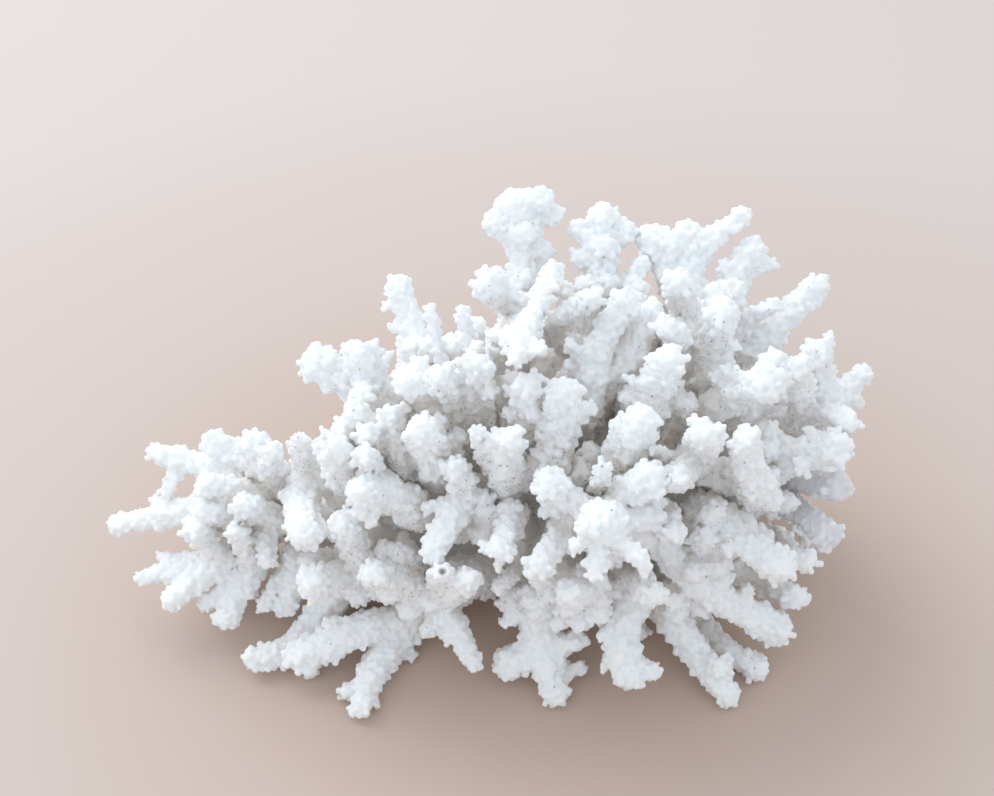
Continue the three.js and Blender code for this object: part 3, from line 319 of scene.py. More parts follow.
        ("n", (34.1,26.8,51,4.8,33.4,20.8,74,4.6,32.6,25.4,82.6,4.1,32.4,28.6,88.9,3.6)),
        ("n", (27.3,26,81.7,3.6,28.3,26.7,87.4,2.8)),
        ("n", (34.1,26.8,51,4.8,31.8,23.2,77,3.8,36.7,26.7,86.8,3.2,45.6,28.7,93.8,2.5)),
        ("n", (34.1,26.8,51,4.8,37.2,17.7,70,4.6,44.4,22,79.9,3.8,48.6,24.7,87.2,3)),
        ("n", (45.8,22.7,81.8,2.8,53.1,25.4,82,2.3)),
        ("n", (44.4,22.2,80.1,2.3,41.5,22.2,83.4,1.8)),
        ("n", (34.1,26.8,51,4.5,48.3,11.6,65.5,4.3,58,15,74.3,3.7,64.2,17.1,80.7,3)),
        ("n", (34.7,27.1,52.6,4.5,34,15.3,65.4,4.1,29.1,4.8,83.3,3.5,25.7,-5.8,96.9,3)),
        ("n", (32.8,25.9,47.7,5.1,37.2,-6.4,66.1,4.9,34.5,-8.4,83.8,4.3,35.5,-12.1,92,3.7)),
        ("n", (34.5,-8.4,83.8,1.9,39.2,-13.3,84.1,1.4)),
        ("n", (35.8,-7.3,75.3,2.2,35,-13.7,75.2,1.7)),
        ("n", (35.2,-11.2,90,2.8,34.5,-6.9,95.5,2.1)),
        ("n", (33.5,26.4,49.4,4.5,29.7,10.2,73.4,3.5,27.1,-8.6,82.5,3.1,21.5,-20.3,94.5,2.7)),
        ("n", (34.1,26.8,51,4.5,42.9,12.9,65.5,3.1,47.4,11.8,74.6,2.6,52.5,9.1,80.1,2.2)),
        ("i", (36,28,56,4.6,35.6,23.1,68.2,3.8,35.4,20.1,75,2.9)),
        ("b", (35.3,27.5,54.3,4.6,39.5,33.1,54.3,3.9,43.4,38.3,53.4,3.4,46,41.4,52.7,2.7)),
        ("b", (36,28,56,4.6,40.7,31,59.9,3.9,45,33.9,62.5,3.4,47.9,35.4,64.5,2.7)),
        ("b", (36,28,56,4.6,34.2,33.9,62.2,3.9,32.7,39.3,66.7,3.4,31,42.6,70,2.7)),
        ("b", (25.4,20.9,34.6,4.6,24.3,33.6,37.1,3.9,23.4,45.4,37.6,3.4,22.2,52.7,38.8,2.7)),
        ("b", (35.3,27.5,54.3,4.6,35.5,35,55.7,3.9,35.7,41.9,55.9,3.4,35.5,46.3,56.2,2.7)),
        ("b", (12.1,10.8,18.4,3.9,11.3,25.8,17.2,3.4,11.3,34.7,16.8,2.6)),
        ("b", (25.4,20.9,34.6,3.9,23.7,21.8,49.9,3.4,23,22.6,60,2.6)),
        ("b", (28.6,23.1,39.7,3.9,42.5,22.9,43.5,3.4,51.1,23,46.3,2.6)),
        ("b", (32.8,25.9,47.7,3.9,28.9,35.5,53.3,3.4,27,41,57,2.6)),
        ("b", (34.1,26.8,51,3.9,26,28.7,59.2,3.4,21.7,29.9,64.5,2.6)),
        ("b", (17.9,15.5,24.2,3.9,19.4,27.9,26.5,3.4,20.6,34.6,28.1,2.6)),
        ("b", (28.6,23.1,39.7,3.9,25.7,35.4,46.1,3.4,24.2,43,50.5,2.6)),
        ("b", (31.1,24.8,44,3.9,39.4,36.2,45.1,3.4,44.8,43.4,46.4,2.6)),
        ("b", (32.1,25.4,45.9,3.9,45.5,26.8,52.3,3.4,54.3,27.9,56.9,2.6)),
        ("b", (40.7,19.7,57.8,3.8,44.2,21.7,61.5,3.5,47.2,23.4,64.7,3)),
        ("b", (11.3,34.7,16.8,2.6,12,41.1,12.3,2.8,14.3,47.2,9,2.9)),
        ("b", (23,22.6,60,2.6,19.9,33.3,62.8,2.8,19.1,42.8,65.1,2.9)),
        ("b", (19.8,30.1,27,3.1,19.8,40.8,26.4,3,19.8,51.1,26.2,2.9)),
        ("b", (35.7,24.5,64.7,3.8,37,27.3,67.2,3.5,38,29.5,69.2,3)),
        ("b", (32.9,12.9,69.5,3.8,37.7,11.9,76.6,3.4,41.9,11,83.2,3)),
    ]),
    ("crown_limb", (0,0,10,7.7,-4.5,10.8,14.7,7.1,-9.5,19.5,30.7,6.5,-12.1,25.8,50.7,5.8,-10,30,66,5.2), [
        ("n", (-10.7,28.6,60.9,4,-8,21.4,69.9,3.4,-9.1,26.1,82.1,3.9,-10.7,31.2,93.8,5.7)),
        ("n", (-10.6,29.8,90.8,3.8,-16.5,28.7,91.9,3.2)),
        ("n", (-10.2,31.3,93.9,3.6,-2,32.6,92.4,2.9)),
        ("n", (-10.5,31.5,94.2,3.6,-12.3,32,96.6,2.9)),
        ("n", (-10.2,30,91,4,-8.7,25.3,91.5,3.3)),
        ("n", (-9.9,31.5,94.2,3.8,-4.9,31.1,97,3.3)),
        ("n", (-9,28.2,86.7,3.2,-4.1,26.1,85.7,2.6)),
        ("n", (-10.7,28.6,60.9,4.5,-8.8,20.9,69.3,3.9,-14,9,81.9,3.7,-18.1,-1,93.2,3.5)),
        ("n", (-15.2,6.4,84.9,2.4,-15.5,9.8,89.3,1.9)),
        ("n", (-11.8,26.5,53.3,4,-14,12,69.3,3.2,-8,4.2,83.7,2.6,-3,-1.5,97.4,2.1)),
        ("n", (-10.7,28.6,60.9,4.2,-10.5,20.3,68.5,4,-10.1,-7.2,83,3.9,-11,-30.1,96.6,3.7)),
        ("n", (-11.2,-18.8,89.9,1.8,-17.3,-23.1,94.2,1.3)),
        ("n", (-10.6,-27.3,94.8,2,-6.6,-34.3,98.8,1.7)),
        ("n", (-10.9,-30.2,96.4,1.9,-11.8,-39.4,99.4,1.7)),
        ("f", (-11.6,23,41.8,4.5,-15.2,-1.2,70.9,2.2,-21.7,-6.2,77.8,1.8,-24.2,-6.4,89.5,1.4)),
        ("f", (-11.1,21.9,38.2,4.5,-16.8,-1.1,72.2,2.2,-20.4,-14.1,80.2,1.9,-20.5,-21.6,89.6,1.6)),
        ("i", (-10,30,66,4.6,-9.3,24.3,75.3,3.8,-8.9,20.5,80.6,2.9)),
        ("b", (-4.5,10.8,14.7,3.9,-17.6,19.8,15.4,3.4,-25,25.2,16.2,2.6)),
        ("b", (-7.7,16.9,23.6,3.9,0.5,26.7,28.9,3.4,4.5,32,32.3,2.6)),
        ("b", (-7.7,16.9,23.6,3.9,-17,26.5,28.4,3.4,-21.9,31.8,31.5,2.6)),
        ("b", (-11.6,23,41.8,3.9,-25.2,29.9,44.4,3.4,-33.4,34.2,46.7,2.6)),
        ("b", (-12,24,45,3.9,-19.1,32.4,51.1,3.4,-22.8,36.8,55,2.6)),
        ("b", (-12.1,25.8,50.7,3.9,-7,38.8,57.1,3.4,-3.8,47.1,61.8,2.6)),
        ("b", (-10.7,28.6,60.9,3.9,-7.4,40.2,67.2,3.4,-5.4,47.3,71.7,2.6)),
        ("n", (-10.8,-28.4,97.2,2.9,-7.3,-18,97.5,2.5,-3.6,-5,97.8,2.1)),
        ("b", (-12.1,25.8,50.7,3.8,-13.2,30,52,3.6,-14.3,34.1,53.3,3)),
    ]),
    ("upper_left_limb", (0,0,10,6.9,-12,2.9,13.7,6.3,-24.5,7,24.2,5.8,-34.6,11.1,38.5,5.3,-40,14,52,4.7), [
        ("n", (-35.6,11.6,40.8,4.6,-33.4,-4.9,61.8,4.4,-36.1,11.7,66.4,3.7,-41.5,22,77.2,3.1)),
        ("n", (-38,15.5,70.2,1.8,-42.4,15,69.6,1.5)),
        ("n", (-35.9,9.5,65.7,2,-40,8.4,65.8,1.5)),
        ("n", (-40,19.4,74.3,1.5,-43.8,18.9,73.7,1.3)),
        ("n", (-35.6,11.6,40.8,4.5,-27.5,-2.8,64.4,2.2,-30.2,-3.4,75.8,1.8,-32.1,1,84.4,1.4)),
        ("n", (-35.6,11.6,40.8,4.9,-43.4,-7.5,62.2,4.7,-51.8,-5.7,67.9,4.4,-59.3,-4.2,72.8,4.1)),
        ("n", (-57.5,-4.5,71.7,1.9,-62.5,-5.2,70.8,1.2)),
        ("n", (-58.2,-4.3,72.4,2.2,-59.8,-2.3,75,1.9)),
        ("n", (-55.7,-5,70.4,2.2,-56.8,-8.8,68.7,1.9)),
        ("n", (-35.6,11.6,40.8,5.1,-43,-7.9,63,4.9,-46.5,-8.5,71.2,4,-48.9,-9.1,77.9,3.1)),
        ("k", (-48.1,-8.9,75.5,2.6,-50.8,-6.6,78.4,2.4)),
        ("n", (-46.7,-8.5,72.2,2.6,-45.3,-5.9,78.8,1.7)),
        ("n", (-45.9,-8.3,70.5,2.2,-42,-4.8,74.9,1.2)),
        ("n", (-46.6,-8.5,70.1,3.4,-47.8,-16.7,72.1,2.6)),
        ("b", (-33.4,10.6,36.2,4.6,-37.1,20.5,38.5,3.9,-40.7,29.6,39,3.4,-42.3,35.6,40.2,2.7)),
        ("b", (-24.5,7,24.2,3.9,-24.8,15,35,3.4,-25.4,19.7,41.5,2.6)),
        ("b", (-28.6,8.6,29.2,3.9,-40.8,5,35.1,3.4,-48.4,3,39.2,2.6)),
        ("b", (-33.4,10.6,36.2,3.9,-30.4,16.1,49.1,3.4,-28.8,19.6,57.6,2.6)),
        ("b", (-36.5,12.1,43,3.9,-47.2,14.9,47.5,3.4,-53.6,16.7,50.7,2.6)),
        ("b", (-14,3.4,14.7,3.9,-21.4,16.6,10.6,3.4,-26.3,24.5,8.5,2.6)),
        ("b", (-22.4,6.2,21.9,3.9,-28.4,18,21.7,3.4,-32.2,24.7,22.1,2.6)),
        ("b", (-37.4,12.6,45.2,3.9,-39,21.8,51.9,3.4,-40.2,27,56.2,2.6)),
        ("b", (-26.6,7.8,26.7,3.9,-29,22.3,28.4,3.4,-30.9,31.2,30,2.6)),
        ("b", (-38.2,13,47.5,3.9,-49.5,9.1,56,3.4,-57.2,6.6,62.2,2.6)),
        ("b", (-47.2,14.9,47.5,3.4,-48.7,21.5,49.7,3.2,-50.4,26.7,50.9,3)),
    ]),
    ("upper_mid_limb", (0,0,10,6.5,-7.5,4.8,18.4,6,-15.4,7.2,31.8,5.6,-21.4,8.5,46.3,5.2,-24,10,58,4.7), [
        ("n", (-21.9,8.8,48.3,4.6,-23.6,-12.6,61.8,4.4,-30.5,-17.6,74,4,-35.5,-24.2,81.4,3.6)),
        ("n", (-32.5,-20,77,2.8,-33.9,-19.3,82.8,2.1)),
        ("n", (-21.9,8.8,48.3,4.6,-22.2,-13.1,62,4.4,-25.7,-21.1,75.8,3.8,-28.6,-28.9,86.7,3.3)),
        ("n", (-21.9,8.8,48.3,4.5,-20.5,-14.9,63.2,4.1,-20.6,-21.6,77.7,3.6,-20.6,-28.1,89.4,3.1)),
        ("n", (-20.5,-26.5,86.5,1.8,-17.5,-29,89.8,1.3)),
        ("n", (-20.8,-27.3,87.9,1.8,-24.1,-28.7,91,1.3)),
        ("n", (-20.4,-23.3,80.7,2,-17.6,-29.2,83,1.8)),
        ("i", (-24,10,58,4.6,-25.5,5.8,66.7,3.8,-32.4,1.9,72.8,2.9)),
        ("i", (-24,10,58,4.6,-25.7,5.5,67.7,3.8,-31.7,2.1,71.8,2.9)),
        ("i", (-24,10,58,4.6,-22.8,13.3,64.9,3.7,-22,15.4,68.6,2.9)),
        ("i", (-24,10,58,4.6,-22.7,8.6,66.6,3.7,-22,7.7,71.4,2.9)),
        ("b", (-12.6,6.8,26.5,3.9,-16.8,-0.9,37.9,3.4,-19.5,-5.3,45.2,2.6)),
        ("b", (-19,7.8,39.6,3.9,-21.2,16.4,48,3.4,-22.7,21.2,53.3,2.6)),
        ("b", (-24.3,9.2,59.7,3.8,-31.2,7.6,65.1,3.5,-37,6.2,69.5,3)),
    ]),
    ("mid_limb", (0,0,10,6.5,-4.8,0.1,21.7,6,-7.4,-0.9,36.1,5.6,-8.1,-2.5,49.9,5.2,-8,-4,60,4.7), [
        ("n", (-8.1,-2.2,48,4.5,-14.7,-25.6,56.1,2.9,-18.7,-33.2,66.5,2.3,-20.4,-38.6,79.2,1.8)),
        ("n", (-8,-2,46,4.7,-11.6,-26.4,55.1,4.2,-13.5,-35.4,67.7,3.4,-12.3,-42.5,80.7,2.7)),
        ("n", (-13.5,-36.3,69.5,2.5,-16,-38.9,74.3,2)),
        ("n", (-8.1,-3,53.4,4.7,-8.7,-22.1,64.6,4.5,-9.2,-27.4,77,3.8,-9.2,-32.3,87.3,3.1)),
        ("n", (-9.4,-28,78.4,2,-13.1,-27.7,82.1,1.6)),
        ("n", (-9.4,-26.8,75.5,2.1,-13.3,-29.5,76.9,1.6)),
        ("n", (-9.1,-27.4,77,2.7,-8,-33,79.5,2.2)),
        ("n", (-8.1,-2.5,49.9,4.9,-4.6,-28.6,59.2,4.7,-1.8,-32,74.3,4.2,-1.6,-35.2,86.8,3.7)),
        ("n", (-1.8,-32.1,74.2,1.8,-6.4,-33.8,75.2,1.3)),
        ("n", (-3.3,-30.2,67.1,1.8,-6.9,-33,68.4,1.6)),
        ("n", (-1.6,-33.6,80.8,2.2,-3.7,-32.7,86.8,1.8)),
        ("n", (-0.8,-32.4,76,2,4.9,-30.1,78.9,1.8)),
        ("i", (-8,-4,60,4.6,-15.9,-8.8,67.4,3.8,-22.7,-9.5,72.1,2.9)),
        ("i", (-8,-4,60,4.6,-10.6,-8.6,67.8,3.7,-12.2,-11.4,71.9,2.9)),
        ("b", (-4.8,0.1,21.7,3.9,0,-4,34.7,3.4,2.6,-6.3,42.8,2.6)),
        ("b", (-7.4,-0.9,36.1,3.9,-1.7,-10.7,42,3.4,1.4,-16.2,46,2.6)),
        ("n", (-14.3,-27.8,49.2,3.2,-14.6,-34.7,64.7,3,-16,-38.9,77.1,2.7)),
    ]),
    ("left_upper_limb", (0,0,10,6.5,-17.1,-1.5,13.7,6,-30,-3,24.6,5.6,-38.1,-4.5,37.4,5.2,-42,-6,46,4.7), [
        ("n", (-40.1,-5.2,41.8,4.5,-40.5,-20.4,57,3.8,-44.7,-21.3,65.5,3.3,-48.9,-22.7,72.4,2.8)),
        ("n", (-40.1,-5.2,41.8,4.5,-42.7,-20.8,55.9,3.8,-48,-21.9,61.5,3.3,-51.7,-24.8,68.7,2.8)),
        ("n", (-40.1,-5.2,41.8,4.5,-38.1,-23.4,53.9,3.3,-39.8,-26.3,65.1,2.8,-40.6,-27.5,75.6,2.3)),
        ("n", (-40,-26.9,70.4,1.8,-37.8,-24.7,74.8,1.6)),
        ("n", (-40.1,-5.2,41.8,4.5,-43.6,-21.2,55.1,3.4,-44.8,-25,63.5,3,-45.6,-30.2,71.7,2.7)),
        ("n", (-39.5,-5,40.4,6,-30.4,-22.4,54.8,5.7,-30.1,-29.3,65.6,4.9,-32.3,-34.8,76,4)),
        ("n", (-31.2,-32,71,2.3,-35.7,-32.3,72.2,1.8)),
        ("n", (-30.7,-31.2,69.9,2.5,-29.6,-28.8,74.6,2)),
        ("n", (-29.5,-29,65.9,2.8,-24.8,-28,68.9,2.3)),
        ("n", (-29.8,-26.6,61.8,2.6,-25.6,-29,65.2,2.1)),
    ]),
    ("right_back_limb", (0,0,10,6.9,16.8,6.3,14.1,6.3,31.5,10.6,21.9,5.8,43.8,11.9,30.3,5.3,54,10,36,4.7), [
        ("n", (47.2,11.4,32.2,5.3,64.7,-3.5,52.6,5,63.1,-3.8,67,4.2,60.3,-6,77.1,3.3)),
        ("n", (61.3,-5.1,73.5,1.7,64.6,0.2,77.1,1.5)),
        ("n", (48.9,11,33.2,4.5,64,-4.3,51.6,3.8,70,-0.2,58.6,3.3,75.2,2.8,63.9,2.8)),
        ("n", (69.3,-0.7,57.8,2.3,74.5,-0.7,57.8,1.8)),
        ("n", (48.9,11,33.2,4.5,60.4,-2,53,4,56.9,-10.1,68.8,3.5,53.4,-18,81.3,3)),
        ("n", (48.9,11,33.2,4.5,56.8,-2,51.4,3.5,62.9,-9.2,61.3,3.2,67.2,-18.8,65.6,2.8)),
        ("s", (48.9,11,33.2,2.8,55.8,-9.5,40.1,2.7,62.6,-17.1,45.2,3,67.5,-23.5,49.9,3.4)),
        ("s", (48.9,11,33.2,2.6,54.9,-10.7,35.4,2.5,59.4,-21.7,38.7,3.2,63.6,-32.1,40.5,4)),
        ("b", (41.9,12,29.2,4.6,51.3,13.3,21.9,3.9,60.1,14.6,13.5,3.4,65.2,14.9,8.3,2.7)),
        ("b", (54,10,36,4.6,61.3,12.1,37.2,3.9,68.1,14,37.1,3.4,72.3,15.1,37.7,2.7)),
        ("b", (54,10,36,4.6,59.2,14.5,41.2,3.9,64.1,18.6,44.7,3.4,66.8,21.2,47.9,2.7)),
        ("b", (48.9,11,33.2,4.6,56.1,13.9,29.4,3.9,62.8,16.6,24.6,3.4,66.8,18.1,21.7,2.7)),
        ("b", (48.9,11,33.2,4.6,57,6.3,25.7,3.9,64.7,2.1,17.1,3.4,68.8,-1.2,11.7,2.7)),
        ("b", (22,8,16,3.9,34.2,9.2,12.2,3.4,41,10,10.6,2.6)),
        ("b", (26.9,9.4,18.7,3.9,39.2,1.2,18,3.4,47.1,-3.5,17.9,2.6)),
        ("b", (31.5,10.6,21.9,3.9,42.2,14.1,17.1,3.4,48.3,16,15,2.6)),
        ("b", (35.9,11.5,25.1,3.9,47.8,2,24,3.4,55.8,-3.9,23.7,2.6)),
        ("b", (40,12,28,3.9,40.1,9.2,39.7,3.4,40.7,7.7,46.5,2.6)),
        ("b", (47.2,11.4,32.2,3.9,53.5,14.2,45,3.4,58.1,15.9,53.5,2.6)),
        ("b", (48.9,11,33.2,3.9,59.9,20,32.9,3.4,67.5,25.6,33.1,2.6)),
        ("b", (52.3,10.3,35,3.9,64.1,6,31.8,3.4,72.1,3.2,30.1,2.6)),
        ("b", (52.3,10.3,35,3.9,60.1,0.4,35.4,3.4,65.4,-5.7,36,2.6)),
        ("b", (47.2,11.4,32.2,3.9,49.4,9.8,46.6,3.4,51.4,8.6,56.1,2.6)),
        ("b", (57.2,15.6,51.8,2.8,63.9,13,52.5,2.8,70.4,10.7,53.4,2.9)),
        ("b", (30,7.4,18.5,3.8,41.5,6.4,13,3.4,52.9,6.8,9,3)),
    ]),
    ("low_left_limb", (0,0,10,6.5,-26.8,-9.4,11.4,6.1,-43.5,-15.6,14,5.8,-52.9,-18.8,16.6,5.5,-60,-20,18,5.2), [
        ("n", (-54.2,-19,16.9,4.9,-63.5,-28.5,4.9,4.7,-69.3,-35.5,4.1,3.9,-77.3,-38.9,5.7,3)),
        ("n", (-65.9,-30.6,3,2.9,-62.8,-40.1,2.1,2.1)),
        ("n", (-48.4,-17.5,15.6,4.8,-47.7,-24.6,20.7,4.6,-55.2,-32.3,27.5,4.1,-59.9,-39.3,32.8,4.2)),
        ("n", (-46.8,-16.9,15.1,4.8,-45.7,-24.9,17.5,4.6,-49.4,-31.1,34.2,4,-51.4,-37.9,50.6,3.5)),
        ("i", (-48.4,-17.5,15.6,4.6,-49.9,-24.1,15.8,3.8,-51.2,-28.4,17.1,2.9)),
        ("i", (-60,-20,18,4.6,-61.7,-23.7,23.6,3.8,-63,-26.2,26.7,2.9)),
        ("b", (-39.4,-14,12.9,3.9,-49.6,-8.2,8.7,3.4,-55.5,-5.5,6.7,2.6)),
        ("b", (-45.2,-16.3,14.6,3.9,-56.4,-14.7,9.3,3.4,-63,-14.1,6.7,2.6)),
        ("b", (-48.4,-17.5,15.6,3.9,-52.9,-21.8,28.9,3.4,-56.3,-24.6,37.1,2.6)),
    ]),
    ("back_limb", (0,0,10,6.9,-1.4,15.6,10.8,6.5,-4,27,17.6,6,-6.6,33.6,26.3,5.6,-8,36,32,5.2), [
        ("b", (-3.4,25.4,15.9,4.6,0,35.1,16.5,3.9,3.1,44.1,15.3,3.4,5.7,49.6,15.6,2.7)),
        ("b", (-6,32,24,4.6,-15.4,36.4,25,3.9,-24,40.7,24.2,3.4,-30.1,42.5,24.7,2.7)),
        ("b", (-5.6,30.9,22.6,4.6,-10.8,36.8,21.4,3.9,-15.5,42.3,19.2,3.4,-18.9,45.5,18.2,2.7)),
        ("b", (-6.3,32.9,25.2,4.6,0,41.4,28.6,3.9,5.8,49.4,29.9,3.4,10.4,53.9,32,2.7)),
        ("b", (-8,36,32,4.6,-0.8,42.5,39.2,3.9,5.7,48.7,44,3.4,11,51.7,48.5,2.7)),
        ("b", (-8,36,32,4.6,-8.8,42,41,3.9,-9.5,47.6,47.7,3.4,-9.7,50.4,53.4,2.7)),
        ("b", (-8,36,32,4.6,-12.4,40.2,35.4,3.9,-16.4,44.1,37.5,3.4,-19.2,46.1,39.7,2.7)),
        ("b", (-8,36,32,4.6,-9.1,41.8,31.7,3.9,-10.2,47.2,30.5,3.4,-10.8,50.5,30.1,2.7)),
        ("b", (-2.4,21.9,13,4.6,-11,28.8,12.3,3.9,-18.9,35.2,9.9,3.4,-24.5,38.8,9.3,2.7)),
        ("b", (-8,36,32,4.6,-16.2,39,37.8,3.9,-23.8,41.9,41.5,3.4,-29.1,42.7,45.2,2.7)),
        ("b", (-3.4,25.4,15.9,4.6,-5.4,34.3,14.6,3.9,-7.2,42.5,12.1,3.4,-8.3,47.7,11.1,2.7)),
        ("b", (-8,36,32,4.6,-6.6,43.5,36.1,3.9,-5.4,50.5,38.6,3.4,-4.2,54.7,41.2,2.7)),
        ("b", (-4,27,17.6,3.9,4.8,38.6,21.5,3.4,9.8,45.9,24.3,2.6)),
        ("b", (-7.5,35.2,30.1,3.9,-19.5,42.5,31.7,3.4,-26.9,47.2,33.3,2.6)),
        ("b", (-1.4,15.6,10.8,3.9,6.1,26.3,7.6,3.4,9.8,32.5,6.1,2.6)),
        ("b", (-5.2,34.3,25.8,3.8,-4.4,41.9,22.1,3.4,-6,49.4,20.4,2.9)),
    ]),
    ("back_right_limb", (0,0,10,6.9,18.7,17.5,10.8,6.5,32.2,27.2,17.8,6,39.7,30.9,25.9,5.6,42,32,30,5.2), [
        ("b", (33.9,28.1,19.5,4.6,32.2,36.2,23.5,3.9,30.6,43.7,25.7,3.4,29,48.3,28.4,2.7)),
        ("b", (32.2,27.2,17.8,4.6,35.5,33.4,17.1,3.9,38.5,39.1,15.4,3.4,40.4,42.6,14.8,2.7)),
        ("b", (39,30.5,25,4.6,43.8,32.4,23.6,3.9,48.2,34.1,21.6,3.4,51.2,34.8,20.5,2.7)),
        ("b", (42,32,30,4.6,50.2,32.3,34.7,3.9,57.8,32.7,37.6,3.4,62.7,31.9,40.7,2.7)),
        ("b", (26.3,23.7,13.1,4.6,26,33,14.4,3.9,25.7,41.6,14.2,3.4,25.1,47,15.1,2.7)),
        ("b", (42,32,30,4.6,40,38,35.2,3.9,38.3,43.6,38.7,3.4,36.4,46.8,42.1,2.7)),
        ("b", (38,30,24,4.6,47.2,29.5,21.3,3.9,55.6,29.3,17.5,3.4,61.2,28,15.5,2.7)),
        ("b", (42,32,30,4.6,43.9,37.2,32.2,3.9,45.7,42,33.3,3.4,46.6,45,34.7,2.7)),
        ("b", (42,32,30,4.6,49.5,33.1,40,3.9,56.4,34.3,47.3,3.4,60.5,33.8,53.6,2.7)),
        ("b", (28.4,25.1,14.4,4.6,36.1,27.6,12.4,3.9,43.1,30.1,9.3,3.4,48,30.9,7.9,2.7)),
        ("b", (42,32,30,4.6,49,32.2,29.9,3.9,55.3,32.6,28.8,3.4,59.6,31.9,28.5,2.7)),
        ("b", (26.3,23.7,13.1,3.9,39.6,20.1,9.8,3.4,47.5,18.4,8.3,2.6)),
    ]),
    ("back_left_limb", (0,0,10,6.5,-22,7.9,10.9,6.1,-36.2,12.5,16.8,5.8,-44.4,14.6,23.8,5.5,-50,16,28,5.2), [
        ("b", (-48.1,15.5,26.6,4.6,-50.4,21.5,26.1,3.9,-52.5,26.9,24.7,3.4,-53.7,30.3,24.1,2.7)),
        ("b", (-32.6,11.5,14,4.6,-34.9,19.5,14.1,3.9,-37,26.9,12.8,3.4,-38.4,31.6,12.8,2.7)),
        ("b", (-43.3,14.3,22.9,4.6,-52.2,16.2,18.2,3.9,-60.5,18,12.3,3.4,-65.8,18.3,8.7,2.7)),
        ("b", (-50,16,28,4.6,-52.2,21.4,33.1,3.9,-54.4,26.5,36.7,3.4,-55.5,29.4,40.1,2.7)),
        ("b", (-40.6,13.6,20.9,4.6,-40.9,22.3,24,3.9,-41.2,30.2,25.4,3.4,-40.5,35.5,27.5,2.7)),
        ("b", (-32.6,11.5,14,4.6,-40.3,18.1,13,3.9,-47.3,24.3,10.5,3.4,-52.3,27.8,9.6,2.7)),
        ("b", (-49,15.8,27.3,3.9,-57.9,6.9,30.8,3.4,-63.7,1.8,33.3,2.6)),
        ("b", (-36.2,12.5,16.8,3.9,-42.3,24.3,17.6,3.4,-46.2,30.9,18.5,2.6)),
        ("b", (-45.4,14.9,24.5,3.9,-56.9,18.5,23.2,3.4,-63.7,20.7,23,2.6)),
    ]),
]

# The bush's rounded outline: centre, half axes, and whether its wall runs
# straight down. It says how deep inside a point lies.
BUSH = [((8, 0, 44), (69, 56, 52), 1.0), ((-32, -4, 40), (48, 42, 40), 0.9), ((-72, -2, 27), (42, 26, 24), 0.0)]


def depth_in_bush(p):
    """0 at the middle of the bush, 1 at its rounded outline."""
    best = np.full(len(p), 9.0)
    for c, a, wall in BUSH:
        q = (p - np.array(c, float)) / np.array(a, float)
        below = p[:, 2] < c[2]
        s = np.where(below, 1 - 0.18 * np.minimum(1, (c[2] - p[:, 2]) / c[2]) ** 2, 1.0)
        z = np.where(below, (1 - wall) * q[:, 2], q[:, 2])
        best = np.minimum(best, np.sqrt((q[:, 0] / s) ** 2 + (q[:, 1] / s) ** 2 + z * z))
    return best


# ------------------------------------------------------------------ geometry
_WK = np.random.default_rng(3).normal(size=(10, 3)) * np.array([[0.22]] * 4 + [[0.5]] * 6)
_WP = np.random.default_rng(4).uniform(0, 6.28, 10)


def lumps(p):
    """Smooth wandering number from about -1 to 1 over space."""
    return np.sin(p @ _WK.T + _WP).mean(-1) * 2.2


def spline(points, values, step=0.5):
    """Points and radii resampled along a Catmull-Rom curve."""
    p = np.array(points, float)
    n = len(p)
    if n == 2:
        k = max(3, int(np.linalg.norm(p[1] - p[0]) / step))
        t = np.linspace(0, 1, k)[:, None]
        return p[0] * (1 - t) + p[1] * t, values[0] * (1 - t[:, 0]) + values[1] * t[:, 0]
    q = np.vstack([2 * p[0] - p[1], p, 2 * p[-1] - p[-2]])
    out, rad = [], []
    for i in range(1, n):
        a, b, c, d = q[i - 1:i + 3]
        ta = 0.0
        tb = ta + max(1e-3, np.linalg.norm(b - a)) ** 0.5
        tc = tb + max(1e-3, np.linalg.norm(c - b)) ** 0.5
        td = tc + max(1e-3, np.linalg.norm(d - c)) ** 0.5
        k = max(2, int(np.linalg.norm(c - b) / step))
        t = np.linspace(tb, tc, k, endpoint=(i == n - 1))[:, None]
        a1 = (tb - t) / (tb - ta) * a + (t - ta) / (tb - ta) * b
        a2 = (tc - t) / (tc - tb) * b + (t - tb) / (tc - tb) * c
        a3 = (td - t) / (td - tc) * c + (t - tc) / (td - tc) * d
        b1 = (tc - t) / (tc - ta) * a1 + (t - ta) / (tc - ta) * a2
        b2 = (td - t) / (td - tb) * a2 + (t - tb) / (td - tb) * a3
        out.append((tc - t) / (tc - tb) * b1 + (t - tb) / (tc - tb) * b2)
        s = ((t - tb) / (tc - tb))[:, 0]
        rad.append(values[i - 1] * (1 - s) + values[i] * s)
    return np.vstack(out), np.concatenate(rad)


def frames_along(x):
    """Cumulative length, directions and two side vectors without twist."""
    d = np.diff(x, axis=0)
    s = np.concatenate([[0], np.cumsum(np.linalg.norm(d, axis=1))])
    t = np.gradient(x, axis=0)
    t /= np.linalg.norm(t, axis=1)[:, None]
    a = np.array([0.0, 0.25, -1.0])
    a = a - t[0] * (a @ t[0])
    if np.linalg.norm(a) < 0.2:
        a = np.array([0.0, 1.0, 0.0]) - t[0] * t[0][1]
    a /= np.linalg.norm(a)
    n = np.empty_like(x)
    for i in range(len(x)):
        a = a - t[i] * (a @ t[i])
        a /= np.linalg.norm(a)
        n[i] = a
    return s, t, n, np.cross(t, n)


